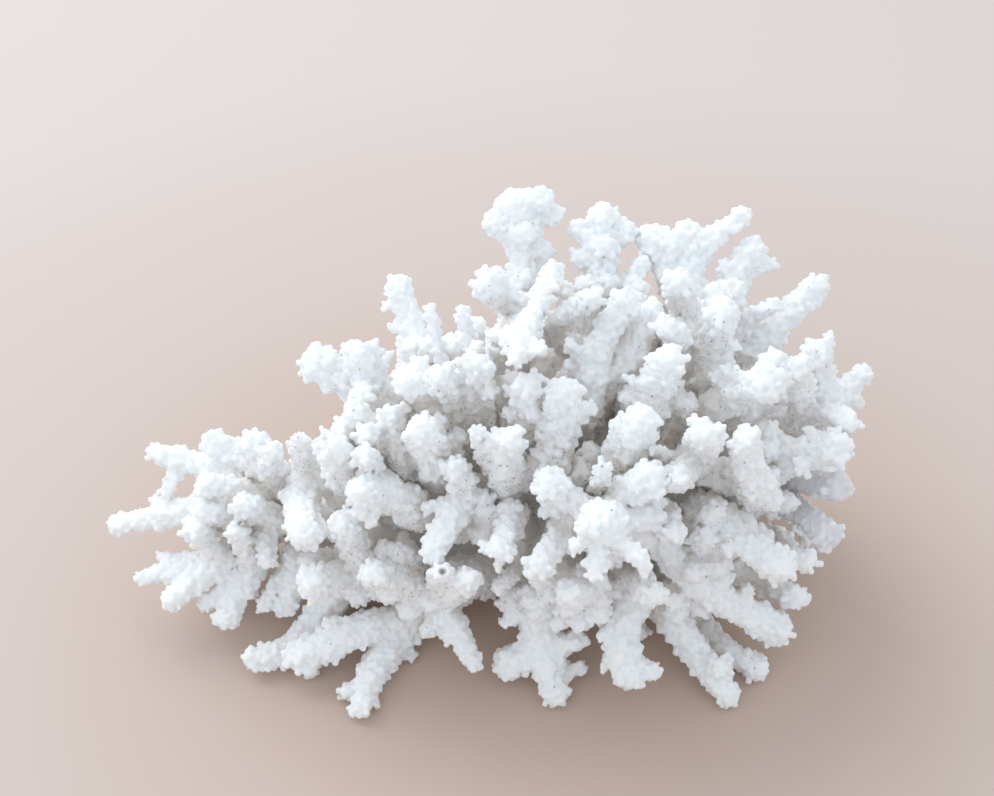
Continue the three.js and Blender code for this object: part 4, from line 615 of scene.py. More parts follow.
class Core:
    """A branchlet under its nubs: maps (run along the profile, angle) to space."""

    def __init__(self, row, relief, wander, broken=0):
        pts = [row[i:i + 3] for i in range(0, len(row), 4)]
        rad = [row[i + 3] for i in range(0, len(row), 4)]
        self.x, over = spline(pts, rad)
        self.s, self.t, self.n, self.b = frames_along(self.x)
        core = np.maximum(over * 0.55, over - relief)
        length = self.s[-1]
        core = core * (1 + 0.15 * np.exp(-self.s / 2.5))
        if not broken:
            core = core * (1 + 0.13 * np.exp(-((length - self.s) / 2.2) ** 2))
        r_tip = core[-1]
        phi = np.linspace(0, math.pi / 2, 7)[1:]
        ps = np.concatenate([self.s, length + r_tip * (0.9 - 0.65 * broken) * np.sin(phi)])
        pr = np.concatenate([core, r_tip * np.cos(phi) + 1e-4])
        self.u = np.concatenate([[0], np.cumsum(np.hypot(np.diff(ps), np.diff(pr)))])
        self.ps, self.pr, self.length = ps, pr, length
        self.U, self.r_tip = self.u[-1], r_tip
        self.u_dome = self.u[len(self.s) - 1]
        self.wander = wander
        g = np.linspace(0, self.U, 160)
        r = np.interp(g, self.u, pr)
        self.g, self.area = g, np.concatenate([[0], np.cumsum((r[1:] + r[:-1]) * math.pi * np.diff(g))])

    def at(self, u, v):
        """Position, outward normal, direction along, radius."""
        s = np.interp(u, self.u, self.ps)
        r = np.interp(u, self.u, self.pr)
        e = 0.25
        ds = np.interp(u + e, self.u, self.ps) - np.interp(u - e, self.u, self.ps)
        dr = np.interp(u + e, self.u, self.pr) - np.interp(u - e, self.u, self.pr)
        sc = np.clip(s, 0, self.length)
        get = lambda a: np.stack([np.interp(sc, self.s, a[:, k]) for k in range(3)], -1)
        x, t, n, b = get(self.x), get(self.t), get(self.n), get(self.b)
        x = x + t * (s - sc)[:, None]
        d = n * np.cos(v)[:, None] + b * np.sin(v)[:, None]
        lift = 1 + self.wander * lumps(x + d * 2.0)
        q = x + d * (r * lift)[:, None]
        m = np.hypot(ds, dr) + 1e-9
        nrm = d * (ds / m)[:, None] - t * (dr / m)[:, None]
        nrm /= np.linalg.norm(nrm, axis=1)[:, None]
        return q, nrm, t, r


def tube_shell(core):
    """The core as a closed lattice."""
    M = 12
    rows = max(4, int(core.U / 0.9))
    u = np.linspace(0, core.U, rows + 1)[:-1]
    v = np.arange(M) * 2 * math.pi / M
    uu, vv = np.repeat(u, M), np.tile(v, rows)
    p = core.at(uu, vv)[0]
    tip = core.x[-1] + core.t[-1] * (core.ps[-1] - core.length)
    root = core.x[0] - core.t[0] * 0.3
    i = np.arange(rows - 1)[:, None] * M
    k = np.arange(M)[None]
    q = (k + 1) % M
    a, b, c, d = (i + k).ravel(), (i + q).ravel(), (i + M + q).ravel(), (i + M + k).ravel()
    t = [np.stack([a, b, c], -1), np.stack([a, c, d], -1)]
    k, q = k[0], q[0]
    nt, nr = rows * M, rows * M + 1
    t.append(np.stack([(rows - 1) * M + k, (rows - 1) * M + q, np.full(M, nt)], -1))
    t.append(np.stack([q, k, np.full(M, nr)], -1))
    return np.vstack([p, tip[None], root[None]]), np.vstack(t)


NS = 8
_k = np.arange(NS)
_q = (_k + 1) % NS
_T = [np.stack([np.full(NS, 4 * NS), _q, _k], -1)]
for _r in range(3):
    _T += [np.stack([_r * NS + _k, _r * NS + _q, (_r + 1) * NS + _q], -1),
           np.stack([_r * NS + _k, (_r + 1) * NS + _q, (_r + 1) * NS + _k], -1)]
_T.append(np.stack([3 * NS + _k, 3 * NS + _q, np.full(NS, 4 * NS + 1)], -1))
NUB_TRIS = np.concatenate(_T)


def nub_shells(p, d, h, r, flat, sunk):
    """Closed blunt pegs: foot p, axis d, height h, radius r; flat 1 keeps a rim."""
    K = len(p)
    e = np.where(np.abs(d[:, 2:3]) < 0.8, np.array([[0, 0, 1.0]]), np.array([[1.0, 0, 0]]))
    e1 = np.cross(d, e)
    e1 /= np.linalg.norm(e1, axis=1)[:, None]
    e2 = np.cross(d, e1)
    ang = _k * 2 * math.pi / NS
    ring = e1[:, None] * np.cos(ang)[None, :, None] + e2[:, None] * np.sin(ang)[None, :, None]
    # heights below the tip and widths of the four rings, in radii
    z = [-sunk, h - r * (0.95 - 0.60 * flat), h - r * (0.42 - 0.28 * flat), h - r * (0.09 - 0.07 * flat)]
    w = [r * (0.95 + 0.17 * flat), r * (0.99 + 0.01 * flat), r * (1.06 - 0.10 * flat), r * (0.76 - 0.02 * flat)]
    v = [p[:, None] + d[:, None] * zz[:, None, None] + ring * ww[:, None, None] for zz, ww in zip(z, w)]
    v.append((p - d * sunk[:, None])[:, None])
    v.append((p + d * h[:, None])[:, None])
    v = np.concatenate(v, 1)
    t = NUB_TRIS[None] + (np.arange(K) * v.shape[1])[:, None, None]
    return v.reshape(-1, 3), t.reshape(-1, 3)


def branchlet(row, kind, seed, inside):
    """Closed overlapping shells of one branchlet, and its mouths."""
    rng = np.random.default_rng(seed)
    r_end = row[-1]
    relief = {"s": 0.2, "f": 0.6}.get(kind, 1.08)
    core = Core(row, relief, 0.20 if kind == "s" else 0.12, kind == "s")
    shells = [tube_shell(core)]
    mouths = []
    step = NUB_STEP * {"s": 1.5, "f": 0.9, "l": 1.15}.get(kind, 1.0)
    total = core.area[-1]
    K = max(3, int(total / (step * step * 0.9)))
    f = (np.arange(K) + 0.5 + rng.uniform(-0.35, 0.35, K)) / K
    u = np.interp(f * total, core.area, core.g)
    r_here = np.interp(u, core.u, core.pr)
    v = np.arange(K) * 2.39996 + rng.uniform(0, 6.28) + rng.normal(size=K) * 0.3 / np.maximum(r_here, 0.8)
    p, nn, tt, rr = core.at(u, v)
    keep = ~inside(p + nn * 0.4)
    deep = depth_in_bush(p)
    keep &= (rng.random(K) < np.clip((deep - 0.38) / 0.22, 0.12, 1.0)) | (p[:, 1] > 8)
    if kind == "s":
        keep &= rng.random(K) < 0.65
    u, p, nn, tt, rr, deep = (a[keep] for a in (u, p, nn, tt, rr, deep))
    K = len(u)
    if K:
        j = rng.normal(size=(K, 4))
        dome = np.clip((u - core.u_dome + 1.0) / max(0.6, core.U - core.u_dome + 1.0), 0, 1)
        # turned up and outside: worn round; underneath and inside: cups with rims
        shelter = np.clip(0.5 - 0.85 * nn[:, 2] - 2.2 * (deep - 0.80) + 0.22 * j[:, 0], 0, 1)
        shelter = np.where(nn[:, 2] < -0.55, np.maximum(shelter, 0.75), shelter)
        cup = (shelter > 0.66) & (dome < 0.75) & (deep > 0.6)
        lean = np.radians(40 - 18 * dome + 9 * j[:, 1])
        along = tt - nn * (tt * nn).sum(1)[:, None]
        al = np.linalg.norm(along, axis=1)[:, None]
        along = np.where(al > 0.1, along / np.maximum(al, 1e-6), 0)
        across = np.cross(nn, along)
        d = nn * np.cos(lean)[:, None] + along * np.sin(lean)[:, None] + across * (0.16 * j[:, 2])[:, None]
        d /= np.linalg.norm(d, axis=1)[:, None]
        small = np.clip((r_end - 1.2) / 1.4, 0, 1)
        size = 0.82 + 0.18 * small
        if kind == "f":
            size *= 0.85
        worn = np.clip(nn[:, 2] * 1.2 + 0.1, 0, 1) * (1 - dome)
        r = np.where(cup, CUP_R, NUB_R * (1 + 0.18 * worn)) * size * (1 + 0.13 * j[:, 3])
        h = np.where(cup, 0.95, NUB_H * (1 - 0.35 * worn)) * size * np.clip(1 + 0.28 * j[:, 0], 0.5, 1.7)
        finger = (rng.random(K) < LOBES * np.clip((deep - 0.5) / 0.2, 0.2, 1)) & (dome < 0.7) & (~cup | (j[:, 1] > 0.8))
        cup &= ~finger
        big = rng.uniform(0, 1, K)
        h = np.where(finger, size * (1.45 + 0.95 * big) * (1 - 0.25 * worn - 0.2 * dome), h * (1 - 0.1 * dome))
        r = np.where(finger, size * (0.76 + 0.28 * rng.random(K)), r * (1 + 0.08 * dome))
        if kind == "s":
            h *= 0.5
            r *= 1.2
        h = h / np.maximum(0.8, np.cos(lean))
        flat = np.where(cup, 1.0, np.clip(0.15 + 0.2 * j[:, 1], 0, 0.5))
        shells.append(nub_shells(p, d, h, r, flat, 0.6 * size * np.ones(K)))
        opened = np.where(cup, rng.random(K) < 0.6, (rng.random(K) < 0.01) & (deep > 0.6))
        for i in np.nonzero(opened)[0]:
            mouths.append((*(p[i] + d[i] * h[i]), *d[i], MOUTH_R * size * (1 + 0.12 * j[i, 2]), MOUTH_DEEP * size, r[i]))
    # the end of the branchlet
    tip = core.x[-1] + core.t[-1] * (core.ps[-1] - core.length)
    t = core.t[-1] + rng.normal(size=3) * 0.1
    t /= np.linalg.norm(t)
    if kind == "h":
        r0 = core.r_tip * 1.02
        shells.append(nub_shells((tip - t * 1.0)[None], t[None], np.array([1.8]), np.array([r0]), np.array([1.0]), np.array([1.0])))
        mouths.append((*(tip + t * 0.8), *t, r0 * 0.6, 1.6, r0))
    elif kind != "s":
        r0 = min(1.8, max(0.85, core.r_tip * 0.72))
        h0 = 0.3 * r0 + 0.3
        shells.append(nub_shells(tip[None], t[None], np.array([h0]), np.array([r0]), np.array([0.2]), np.array([0.8])))
        if rng.random() < 0.1:
            mouths.append((*(tip + t * h0), *t, MOUTH_R, MOUTH_DEEP, r0))
    out_v, out_t, n = [], [], 0
    for a, b in shells:
        out_v.append(a)
        out_t.append(b + n)
        n += len(a)
    return np.vstack(out_v), np.vstack(out_t), mouths


# ------------------------------------------------------------------ assembly
def segments_of(row):
    p = np.array([row[i:i + 3] for i in range(0, len(row), 4)], float)
    r = np.array([row[i + 3] for i in range(0, len(row), 4)], float)
    return p[:-1], p[1:], r[:-1], r[1:]


ALL = []
for li, (name, path, rows) in enumerate(LIMBS):
    for k, row in enumerate([path] + [r for _, r in rows]):
        a, b, ra, rb = segments_of(row)
        for q in range(len(a)):
            ALL.append((li, k, a[q], b[q], ra[q], rb[q]))
SEG_OWN = np.array([(s[0], s[1]) for s in ALL])
SEG_A = np.array([s[2] for s in ALL])
SEG_B = np.array([s[3] for s in ALL])
SEG_RA = np.array([s[4] for s in ALL])
SEG_RB = np.array([s[5] for s in ALL])


def buried_test(li, k, row):
    """A function that says which points lie inside another branch."""
    p = np.array([row[i:i + 3] for i in range(0, len(row), 4)], float)
    lo, hi = p.min(0) - 9, p.max(0) + 9
    near = ~((SEG_OWN[:, 0] == li) & (SEG_OWN[:, 1] == k))
    near &= (np.minimum(SEG_A, SEG_B) < hi).all(1) & (np.maximum(SEG_A, SEG_B) > lo).all(1)
    A, B, RA, RB = SEG_A[near], SEG_B[near], SEG_RA[near], SEG_RB[near]
    D = B - A
    L2 = np.maximum((D * D).sum(1), 1e-9)

    def inside(q):
        t = np.clip(np.einsum("qsk,sk->qs", q[:, None] - A[None], D) / L2, 0, 1)
        dist = np.linalg.norm(q[:, None] - A - t[..., None] * D, axis=2)
        return (dist < (RA * (1 - t) + RB * t) - 1.2).any(1)

    return inside


def new_mesh(name, verts, tris):
    me = bpy.data.meshes.new(name)
    me.vertices.add(len(verts))
    me.vertices.foreach_set("co", verts.astype(np.float32).ravel())
    me.loops.add(len(tris) * 3)
    me.loops.foreach_set("vertex_index", tris.astype(np.int32).ravel())
    me.polygons.add(len(tris))
    me.polygons.foreach_set("loop_start", np.arange(0, len(tris) * 3, 3, dtype=np.int32))
    me.update(calc_edges=True)
    return me


def coords(me):
    co = np.empty(len(me.vertices) * 3, np.float32)
    me.vertices.foreach_get("co", co)
    return co.reshape(-1, 3).astype(float)


def triangles_of(me):
    me.calc_loop_triangles()
    t = np.empty(len(me.loop_triangles) * 3, np.int32)
    me.loop_triangles.foreach_get("vertices", t)
    return t.reshape(-1, 3)


def vertex_normals(co, t):
    fn = np.cross(co[t[:, 1]] - co[t[:, 0]], co[t[:, 2]] - co[t[:, 0]])
    n = np.zeros_like(co)
    for k in range(3):
        for c in range(3):
            n[:, c] += np.bincount(t[:, k], fn[:, c], len(co))
    return n / np.maximum(1e-9, np.linalg.norm(n, axis=1))[:, None]


def neighbour_mean(values, a, b, count):
    """Mean of each vertex's neighbours along the edges a-b."""
    out = np.zeros_like(values)
    for c in range(values.shape[1]):
        out[:, c] = np.bincount(a, values[b, c], len(values)) + np.bincount(b, values[a, c], len(values))
    return out / np.maximum(1, count)[:, None]


def edges_of(me):
    e = np.empty(len(me.edges) * 2, np.int32)
    me.edges.foreach_get("vertices", e)
    e = e.reshape(-1, 2)
    return e[:, 0], e[:, 1]


def cut_mouths(co, nrm, mouths):
    """Press the cups' mouths into the skin. Returns how hollow each vertex is."""
    hollow = np.zeros(len(co))
    if not mouths:
        return hollow
    kd = KDTree(len(co))
    for i, c in enumerate(co.tolist()):
        kd.insert(c, i)
    kd.balance()
    vi, mi = [], []
    for j, m in enumerate(mouths):
        for _, i, _ in kd.find_range(m[:3], max(0.95, m[6] * 2.4)):
            vi.append(i)
            mi.append(j)
    vi, mi = np.array(vi, int), np.array(mi, int)
    if not len(vi):
        return hollow
    M = np.array(mouths)
    o, d, rad, deep = M[mi, :3], M[mi, 3:6], M[mi, 6], M[mi, 7]
    rel = co[vi] - o
    ax = (rel * d).sum(1)
    side = rel - d * ax[:, None]
    per = np.linalg.norm(side, axis=1)
    ok = ((nrm[vi] * d).sum(1) > 0.25) & (np.abs(ax) < 0.8 + rad)
    vi, mi, per, d, o, rad, deep, ax, side = (a[ok] for a in (vi, mi, per, d, o, rad, deep, ax, side))
    if not len(vi):
        return hollow
    # the vertex nearest the axis goes to the bottom of the mouth
    order = np.lexsort((per, mi))
    first = order[np.concatenate([[True], np.diff(mi[order]) > 0])]
    first = first[per[first] < rad[first] * 1.15 + 0.05]
    used = np.zeros(len(co), bool)
    has = np.zeros(len(mouths), bool)
    has[mi[first]] = True
    shift = np.zeros_like(co)
    x = per / rad
    down = -deep * np.clip(1.15 - x, 0, 1) * 1.1
    up = 0.13 * rad / 0.34 * np.exp(-((x - 1.55) / 0.45) ** 2)
    move = np.where(x < 1.0, down, up) * has[mi]
    near = np.lexsort((per, vi))
    one = near[np.concatenate([[True], np.diff(vi[near]) > 0])]
    shift[vi[one]] = d[one] * move[one][:, None]
    hollow[vi[one]] = (np.clip(1.5 - x[one], 0, 1) * has[mi[one]]) ** 0.8
    co += shift
    co[vi[first]] = o[first] - d[first] * deep[first][:, None]
    hollow[vi[first]] = 1.0
    return hollow


CELL = 2.2


def openness(points, normals):
    """How open to the outside each point is, 0 to 1, seen along its normal."""
    allp = np.vstack(points)
    lo = allp.min(0) - 3 * CELL
    shape = np.ceil((allp.max(0) + 3 * CELL - lo) / CELL).astype(int)
    full = np.zeros(shape, np.float32)
    idx = [np.floor((p - lo) / CELL).astype(int) for p in points]
    flat = [np.ravel_multi_index(i.T, shape) for i in idx]
    cnt = np.bincount(np.concatenate(flat), minlength=full.size)
    full = np.minimum(1.0, cnt / 30.0)
    used = np.nonzero(cnt)[0]
    where = np.full(full.size, -1)
    where[used] = np.arange(len(used))
    full = full.reshape(shape)
    full[:, :, :int((0 - lo[2]) / CELL)] = 1.0
    centre = np.stack(np.unravel_index(used, shape), -1) + 0.5
    k = np.arange(64) + 0.5
    z = 1 - 2 * k / 64
    ph = k * 2.39996
    dirs = np.stack([np.sqrt(1 - z * z) * np.cos(ph), np.sqrt(1 - z * z) * np.sin(ph), z], -1)
    clear = np.ones((len(used), 64))
    top = np.array(shape) - 1
    for step in np.concatenate([np.arange(1.7, 6, 0.9), np.arange(6, 30, 1.5)]):
        q = centre[:, None] + dirs[None] * step
        q = np.floor(q).astype(int)
        out = ((q < 0) | (q > top)).any(2)
        q = np.clip(q, 0, top)
        clear *= np.where(out, 1.0, 1.0 - 0.55 * full[q[..., 0], q[..., 1], q[..., 2]])
    got = []
    for f, n in zip(flat, normals):
        w = np.maximum(0.0, n @ dirs.T + 0.15)
        got.append((clear[where[f]] * w).sum(1) / w.sum(1))
    return got


def evaluated(objs):
    dg = bpy.context.evaluated_depsgraph_get()
    return [bpy.data.meshes.new_from_object(o.evaluated_get(dg)) for o in objs]


def drop(objs):
    for o in objs:
        m = o.data
        bpy.data.objects.remove(o)
        bpy.data.meshes.remove(m)


def put(me):
    o = bpy.data.objects.new(me.name, me)
    bpy.context.scene.collection.objects.link(o)
    return o


def grow_limbs():
    """Every limb's fused skin, with hollow and groove on its vertices."""
    raw, mouths = [], []
    for li, (name, path, rows) in enumerate(LIMBS):
        vv, tt, mm, n = [], [], [], 0
        for k, (kind, row) in enumerate([("l", path)] + rows):
            v, t, m = branchlet(row, kind, SEED * 1000 + li * 100 + k, buried_test(li, k, row))
            vv.append(v)
            tt.append(t + n)
            mm += m
            n += len(v)
        o = put(new_mesh(name, np.vstack(vv), np.vstack(tt)))
        mod = o.modifiers.new("fuse", "REMESH")
        mod.mode = "VOXEL"
        mod.voxel_size = VOXEL
        mod = o.modifiers.new("wear", "SMOOTH")
        mod.factor = 0.45
        mod.iterations = 1
        raw.append(o)
        mouths.append(mm)
    fused = evaluated(raw)
    drop(raw)
    objs, faces = [], 0
    for me in fused:
        co = coords(me)
        t = triangles_of(me)
        objs.append((me, co, t, vertex_normals(co, t)))
        faces += len(t)
    opened = openness([x[1] for x in objs], [x[3] for x in objs])
    made = []
    for (name, _, rows), (me, co, t, nrm), mm, wide in zip(LIMBS, objs, mouths, opened):
        me.name = name
        bare = np.zeros(len(co))
        for kind, row in rows:
            if kind == "s":
                for a, b, ra, rb in zip(*segments_of(row)):
                    f = np.clip(((co - a) @ (b - a)) / ((b - a) @ (b - a)), 0, 1)
                    away = np.linalg.norm(co - a - f[:, None] * (b - a), axis=1) - (ra + (rb - ra) * f)
                    bare = np.maximum(bare, np.clip(1.6 - away, 0, 1))
        a, b = edges_of(me)
        count = np.bincount(a, minlength=len(co)) + np.bincount(b, minlength=len(co))
        # how far each vertex lies under its neighbours
        flat = co
        for _ in range(3):
            flat = 0.3 * flat + 0.7 * neighbour_mean(flat, a, b, count)
        cav = ((flat - co) * nrm).sum(1)[:, None]
        wide = wide[:, None]
        for _ in range(2):
            cav = 0.5 * cav + 0.5 * neighbour_mean(cav, a, b, count)
            wide = 0.5 * wide + 0.5 * neighbour_mean(wide, a, b, count)
        wide = wide[:, 0]
        groove = np.clip(0.30 + cav[:, 0] / 0.22, 0, 1)
        hollow = cut_mouths(co, nrm, mm)
        co += nrm * (0.05 * lumps(co * 6.5) + 0.035 * lumps(co * 13.0 + 7.0))[:, None]
        co[:, 2] = np.maximum(co[:, 2], FLOOR_CLEAR)
        me.vertices.foreach_set("co", co.astype(np.float32).ravel())
        for nm, val in (("hollow", hollow), ("groove", groove), ("open", wide), ("bare", bare)):
            at = me.attributes.new(nm, "FLOAT", "POINT")
            at.data.foreach_set("value", val.astype(np.float32))
        me.update()
        o = put(me)
        made.append(o)
        # the hidden depths keep fewer triangles
        grp = o.vertex_groups.new(name="hidden")
        level = np.clip(np.round((0.34 - wide) / 0.06), 0, 4)
        for lv in range(5):
            grp.add(np.nonzero(level == lv)[0].tolist(), (0.06, 0.15, 0.35, 0.7, 1.0)[lv], "REPLACE")
        mod = o.modifiers.new("thin", "DECIMATE")
        mod.ratio = min(1.0, TRIANGLES / faces)
        mod.use_collapse_triangulate = True
        mod.vertex_group = "hidden"
        mod.vertex_group_factor = 3.0
    objs = made
    out = evaluated(objs)
    drop(objs)
    return out


def stalk_solid():
    """The stalk: an uneven trunk with a flat sawn face on the floor."""
    rng = np.random.default_rng(SEED)
    A, rings = 72, []
    prof = [(0.0, 0.0), (0.0, 0.35), (0.0, 0.7), (0.0, 0.93), (0.35, 0.985), (1.5, 1.0), (3.5, 0.985), (6, 0.965),
            (8.5, 0.955), (11, 0.94), (13.5, 0.92), (16, 0.885), (18.5, 0.84), (21, 0.77), (23.5, 0.68), (26, 0.56), (28.2, 0.4), (29.8, 0.2)]
    v = [np.array([[0, 0, 0.0]])]
    ang = np.linspace(0, 2 * math.pi, A, endpoint=False)
    outline = np.interp(ang, np.linspace(0, 2 * math.pi, 13), [1.04, 0.97, 0.92, 1.0, 1.08, 1.05, 0.96, 0.9, 0.98, 1.07, 1.1, 1.02, 1.04])
    outline = (np.roll(outline, 1) + 2 * outline + np.roll(outline, -1)) / 4
    for z, f in prof[1:]:
        r = 19.2 * f * outline
        p = np.stack([r * np.cos(ang), -r * np.sin(ang), np.full(A, float(z))], -1)
        if z > 0:
            d = p.copy()
            d[:, 2] = 0
            d /= np.linalg.norm(d, axis=1)[:, None]
            p += d * (0.45 * lumps(p * 2.1) + 0.22 * lumps(p * 6.0 + 5) + 0.12 * lumps(p * 13.0 + 9))[:, None]
            if z > 1:
                p[:, 2] += 0.3 * lumps(p * 3.3)
        v.append(p)
    v.append(np.array([[0, 0, 30.6]]))
    tris = []
    R_ = len(prof) - 1
    for k in range(A):
        q = (k + 1) % A
        tris.append((0, 1 + k, 1 + q))
        for j in range(R_ - 1):
            a, b = 1 + j * A, 1 + (j + 1) * A
            tris += [(a + k, b + k, a + q), (a + q, b + k, b + q)]
        a = 1 + (R_ - 1) * A
        tris.append((a + k, len(np.concatenate(v)) - 1, a + q))
    v = np.concatenate(v)
    t = np.array(tris)
    vol = np.einsum("ij,ij->i", v[t[:, 0]], np.cross(v[t[:, 1]], v[t[:, 2]])).sum()
    if vol < 0:
        t = t[:, ::-1]
    return v, t


# ----------------------------------------------------------------- materials
def nodes_of(name):
    m = bpy.data.materials.new(name)
    m.use_nodes = True
    nt = m.node_tree
    nt.nodes.clear()
    out = nt.nodes.new("ShaderNodeOutputMaterial")
    bsdf = nt.nodes.new("ShaderNodeBsdfPrincipled")
    nt.links.new(bsdf.outputs[0], out.inputs[0])
    return m, nt, bsdf


def node(nt, kind, **props):
    n = nt.nodes.new(kind)
    for k, v in props.items():
        if k == "inputs":
            for i, val in v.items():
                n.inputs[i].default_value = val
        else:
            setattr(n, k, v)
    return n


def noise(nt, coord, scale, detail=3.0, rough=0.6):
    n = node(nt, "ShaderNodeTexNoise", inputs={"Scale": scale, "Detail": detail, "Roughness": rough})
    nt.links.new(coord, n.inputs["Vector"])
    return n.outputs["Fac"]


def ramp(nt, fac, stops):
    r = node(nt, "ShaderNodeValToRGB")
    e = r.color_ramp.elements
    while len(e) < len(stops):
        e.new(0.5)
    for el, (pos, col) in zip(e, stops):
        el.position = pos
        el.color = (*col, 1.0) if not isinstance(col, float) else (col, col, col, 1.0)
    nt.links.new(fac, r.inputs[0])
    return r.outputs[0]


def mix(nt, fac, a, b, how="MIX"):
    m = node(nt, "ShaderNodeMix", data_type="RGBA", blend_type=how)
    for sock, val in ((m.inputs[0], fac), (m.inputs[6], a), (m.inputs[7], b)):
        if hasattr(val, "is_linked"):
            nt.links.new(val, sock)
        else:
            sock.default_value = val if isinstance(val, float) else (*val, 1.0)
    return m.outputs[2]


def maths(nt, op, a, b=0.0, clamp=False):
    m = node(nt, "ShaderNodeMath", operation=op, use_clamp=clamp)
    for sock, val in ((m.inputs[0], a), (m.inputs[1], b)):
        if hasattr(val, "is_linked"):
            nt.links.new(val, sock)
        else:
            sock.default_value = val
    return m.outputs[0]


def attribute(nt, name):
    return node(nt, "ShaderNodeAttribute", attribute_name=name).outputs["Fac"]


def coral_material():
    m, nt, b = nodes_of("coral_white")
    co = node(nt, "ShaderNodeTexCoord").outputs["Object"]
    white = (0.90, 0.945, 0.99)
    cream = (0.90, 0.905, 0.91)
    # cream for the sheltered depths: partly the coral's own cream, partly painted shade
    inner = (0.88, 0.835, 0.785)
    # tan of the painted shade in the creases between the nubs
    crease_tan = (0.80, 0.745, 0.68)
    grey = (0.66, 0.655, 0.69)
    # dark for the bottoms of the mouths: partly grey dirt, partly painted shade
    dark = (0.38, 0.34, 0.31)
    hollow, groove, wide = attribute(nt, "hollow"), attribute(nt, "groove"), attribute(nt, "open")
    # painted shade: whiter where the skin is open to the light, creamier in the sheltered depths (partly the coral's
    # own cream, partly painted shade and warm bounce light), varied in patches
    patch = noise(nt, co, 70.0, 2.0)
    shade_by_openness = maths(nt, "ADD", wide, maths(nt, "MULTIPLY", maths(nt, "SUBTRACT", patch, 0.5), 0.22), True)
    base = ramp(nt, shade_by_openness, [(0.04, inner), (0.17, cream), (0.32, white), (1.0, white)])
    # painted shade: tan darkening in the creases between the nubs where they are sheltered
    shade = ramp(nt, shade_by_openness, [(0.12, 1.0), (0.45, 0.15)])
    crease_shade = maths(nt, "MULTIPLY", maths(nt, "MULTIPLY", ramp(nt, groove, [(0.3, 0.0), (0.9, 1.0)]), shade), 0.6)
    base = mix(nt, crease_shade, base, crease_tan)
    # the smooth stubs painted grey: partly their own duller tone, partly painted shade
    base = mix(nt, maths(nt, "MULTIPLY", attribute(nt, "bare"), 0.85), base, grey)
    fine = ramp(nt, noise(nt, co, 1500.0, 4.0, 0.7), [(0.3, 0.94), (0.7, 1.0)])
    base = mix(nt, 1.0, base, fine, "MULTIPLY")
    # the bottoms of the cups' mouths painted dark: partly grey dirt, partly painted shade in the holes
    pit = ramp(nt, hollow, [(0.36, 0.0), (0.95, 1.0)])
    base = mix(nt, pit, base, dark)
    nt.links.new(base, b.inputs["Base Color"])
    rough = ramp(nt, noise(nt, co, 900.0, 2.0), [(0.3, 0.72), (0.7, 0.92)])
    nt.links.new(rough, b.inputs["Roughness"])
    b.inputs["Specular IOR Level"].default_value = 0.28
    b.inputs["Subsurface Weight"].default_value = 1.0
    b.inputs["Subsurface Radius"].default_value = (1.0, 0.92, 0.85)
    b.inputs["Subsurface Scale"].default_value = 0.0026
    bump = node(nt, "ShaderNodeBump", inputs={"Strength": 0.45, "Distance": 0.00012})
    nt.links.new(noise(nt, co, 1700.0, 4.0, 0.65), bump.inputs["Height"])
    nt.links.new(bump.outputs[0], b.inputs["Normal"])
    return m


def stalk_material():
    m, nt, b = nodes_of("stalk_cream")
    co = node(nt, "ShaderNodeTexCoord").outputs["Object"]
    base = ramp(nt, noise(nt, co, 90.0, 4.0), [(0.3, (0.55, 0.48, 0.40)), (0.6, (0.74, 0.70, 0.63)), (0.8, (0.80, 0.78, 0.74))])
    vor = node(nt, "ShaderNodeTexVoronoi", inputs={"Scale": 620.0})
    nt.links.new(co, vor.inputs["Vector"])
    pores = ramp(nt, vor.outputs["Distance"], [(0.12, 0.35), (0.34, 1.0)])
    base = mix(nt, 1.0, base, pores, "MULTIPLY")
    nt.links.new(base, b.inputs["Base Color"])
    b.inputs["Roughness"].default_value = 0.9
    b.inputs["Specular IOR Level"].default_value = 0.25
    bump = node(nt, "ShaderNodeBump", inputs={"Strength": 0.6, "Distance": 0.0004})
    nt.links.new(vor.outputs["Distance"], bump.inputs["Height"])
    nt.links.new(bump.outputs[0], b.inputs["Normal"])
    return m


CORAL = coral_material()
STALK_MAT = stalk_material()


def finish_piece(me, name, node_name, material):
    co = np.empty(len(me.vertices) * 3, np.float32)
    me.vertices.foreach_get("co", co)
    co = co.reshape(-1, 3)
    me.vertices.foreach_set("co", (co * 0.001).ravel())
    me.materials.clear()
    me.materials.append(material)
    me.polygons.foreach_set("use_smooth", np.ones(len(me.polygons), bool))
    me.set_sharp_from_angle(angle=math.radians(72))
    me.update()
    o = bpy.data.objects.new(name, me)
    bpy.context.scene.collection.objects.link(o)
    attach(o, "root")
    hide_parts(node_name)
    return o


for (name, _, _), me in zip(LIMBS, grow_limbs()):
    me.name = name + "_skin"
    finish_piece(me, name + "_skin", name, CORAL)

v, t = stalk_solid()
finish_piece(new_mesh("base_stalk", v, t), "base_stalk_skin", "base_stalk", STALK_MAT)

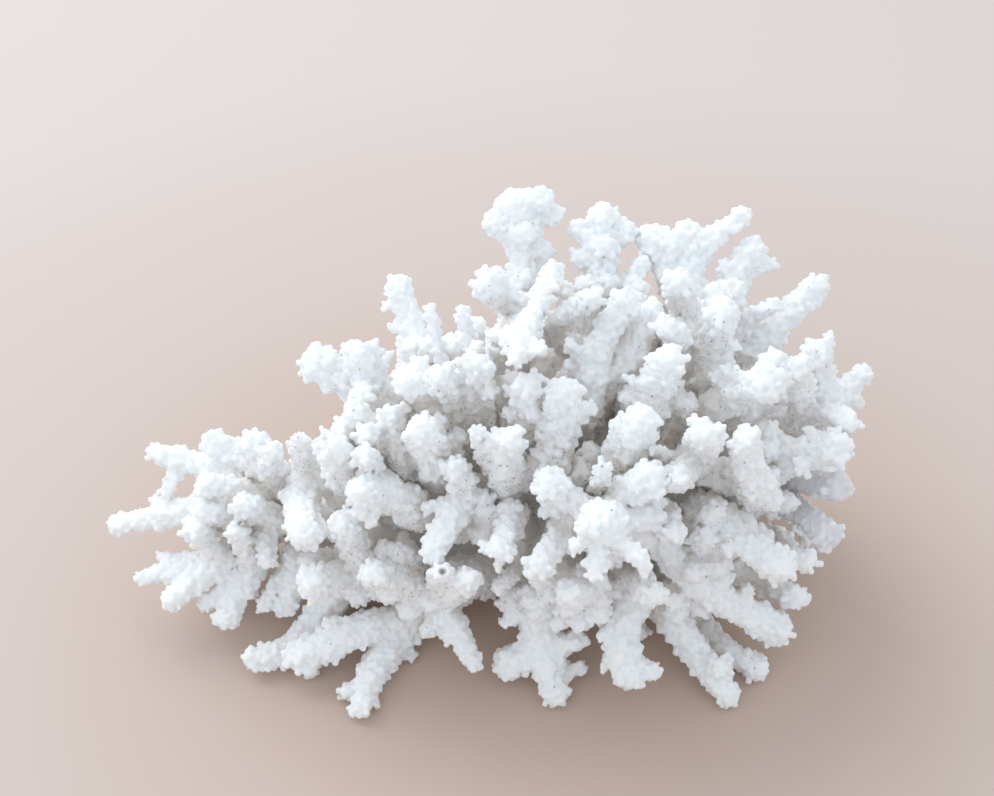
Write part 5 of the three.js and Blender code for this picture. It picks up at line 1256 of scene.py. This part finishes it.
# --------------------------------------------------------------------- stage
bpy.ops.mesh.primitive_plane_add(size=6.0, location=(0, 0, -0.00005))
floor = bpy.context.object
floor.name = "floor"
fm, nt, fb = nodes_of("floor_painted_shadow")
# painted shadow: the floor is darker and warmer near the coral's foot, paling out by 0.32 m, standing in for its shadow
# and warm bounce light
shadow_distance = node(nt, "ShaderNodeVectorMath", operation="LENGTH")
nt.links.new(node(nt, "ShaderNodeTexCoord").outputs["Object"], shadow_distance.inputs[0])
nt.links.new(ramp(nt, shadow_distance.outputs["Value"], [(0.06, (0.452, 0.312, 0.240)), (0.15, (0.512, 0.408, 0.364)), (0.32, (0.563, 0.477, 0.444))]), fb.inputs["Base Color"])
fb.inputs["Roughness"].default_value = 0.9
fb.inputs["Specular IOR Level"].default_value = 0.1
floor.data.materials.append(fm)

world = bpy.data.worlds.new("soft")
bpy.context.scene.world = world
world.use_nodes = True
bg = world.node_tree.nodes["Background"]
bg.inputs[0].default_value = (0.865, 0.93, 1.0, 1)
bg.inputs[1].default_value = 1.0


def area(name, loc, target, size, power, colour):
    d = bpy.data.lights.new(name, "AREA")
    d.shape = "DISK"
    d.size = size
    d.energy = power
    d.color = colour
    o = bpy.data.objects.new(name, d)
    o.location = loc
    o.rotation_euler = (Vector(target) - Vector(loc)).to_track_quat("-Z", "Y").to_euler()
    bpy.context.scene.collection.objects.link(o)
    return o


area("key", (-0.65, 0.55, 1.05), (0, 0, 0.04), 1.2, 12.5, (0.94, 0.975, 1.0))
area("fill", (-0.8, -0.8, 0.7), (0, 0, 0.04), 1.4, 2.0, (0.93, 0.96, 1.0))

cam_data = bpy.data.cameras.new("photo_view")
cam_data.sensor_width = 36.0
cam_data.lens = 36.0 * 1380.0 / 994.0
cam_data.clip_start = 0.01
cam = bpy.data.objects.new("photo_view", cam_data)
cam.location = (-0.016, -0.2728, 0.2716)
cam.rotation_euler = (math.radians(52.0), 0, 0)
bpy.context.scene.collection.objects.link(cam)
bpy.context.scene.camera = cam
bpy.context.scene.view_settings.view_transform = "Standard"
bpy.context.scene.view_settings.exposure = -0.20
bpy.context.scene.view_settings.gamma = 1.45
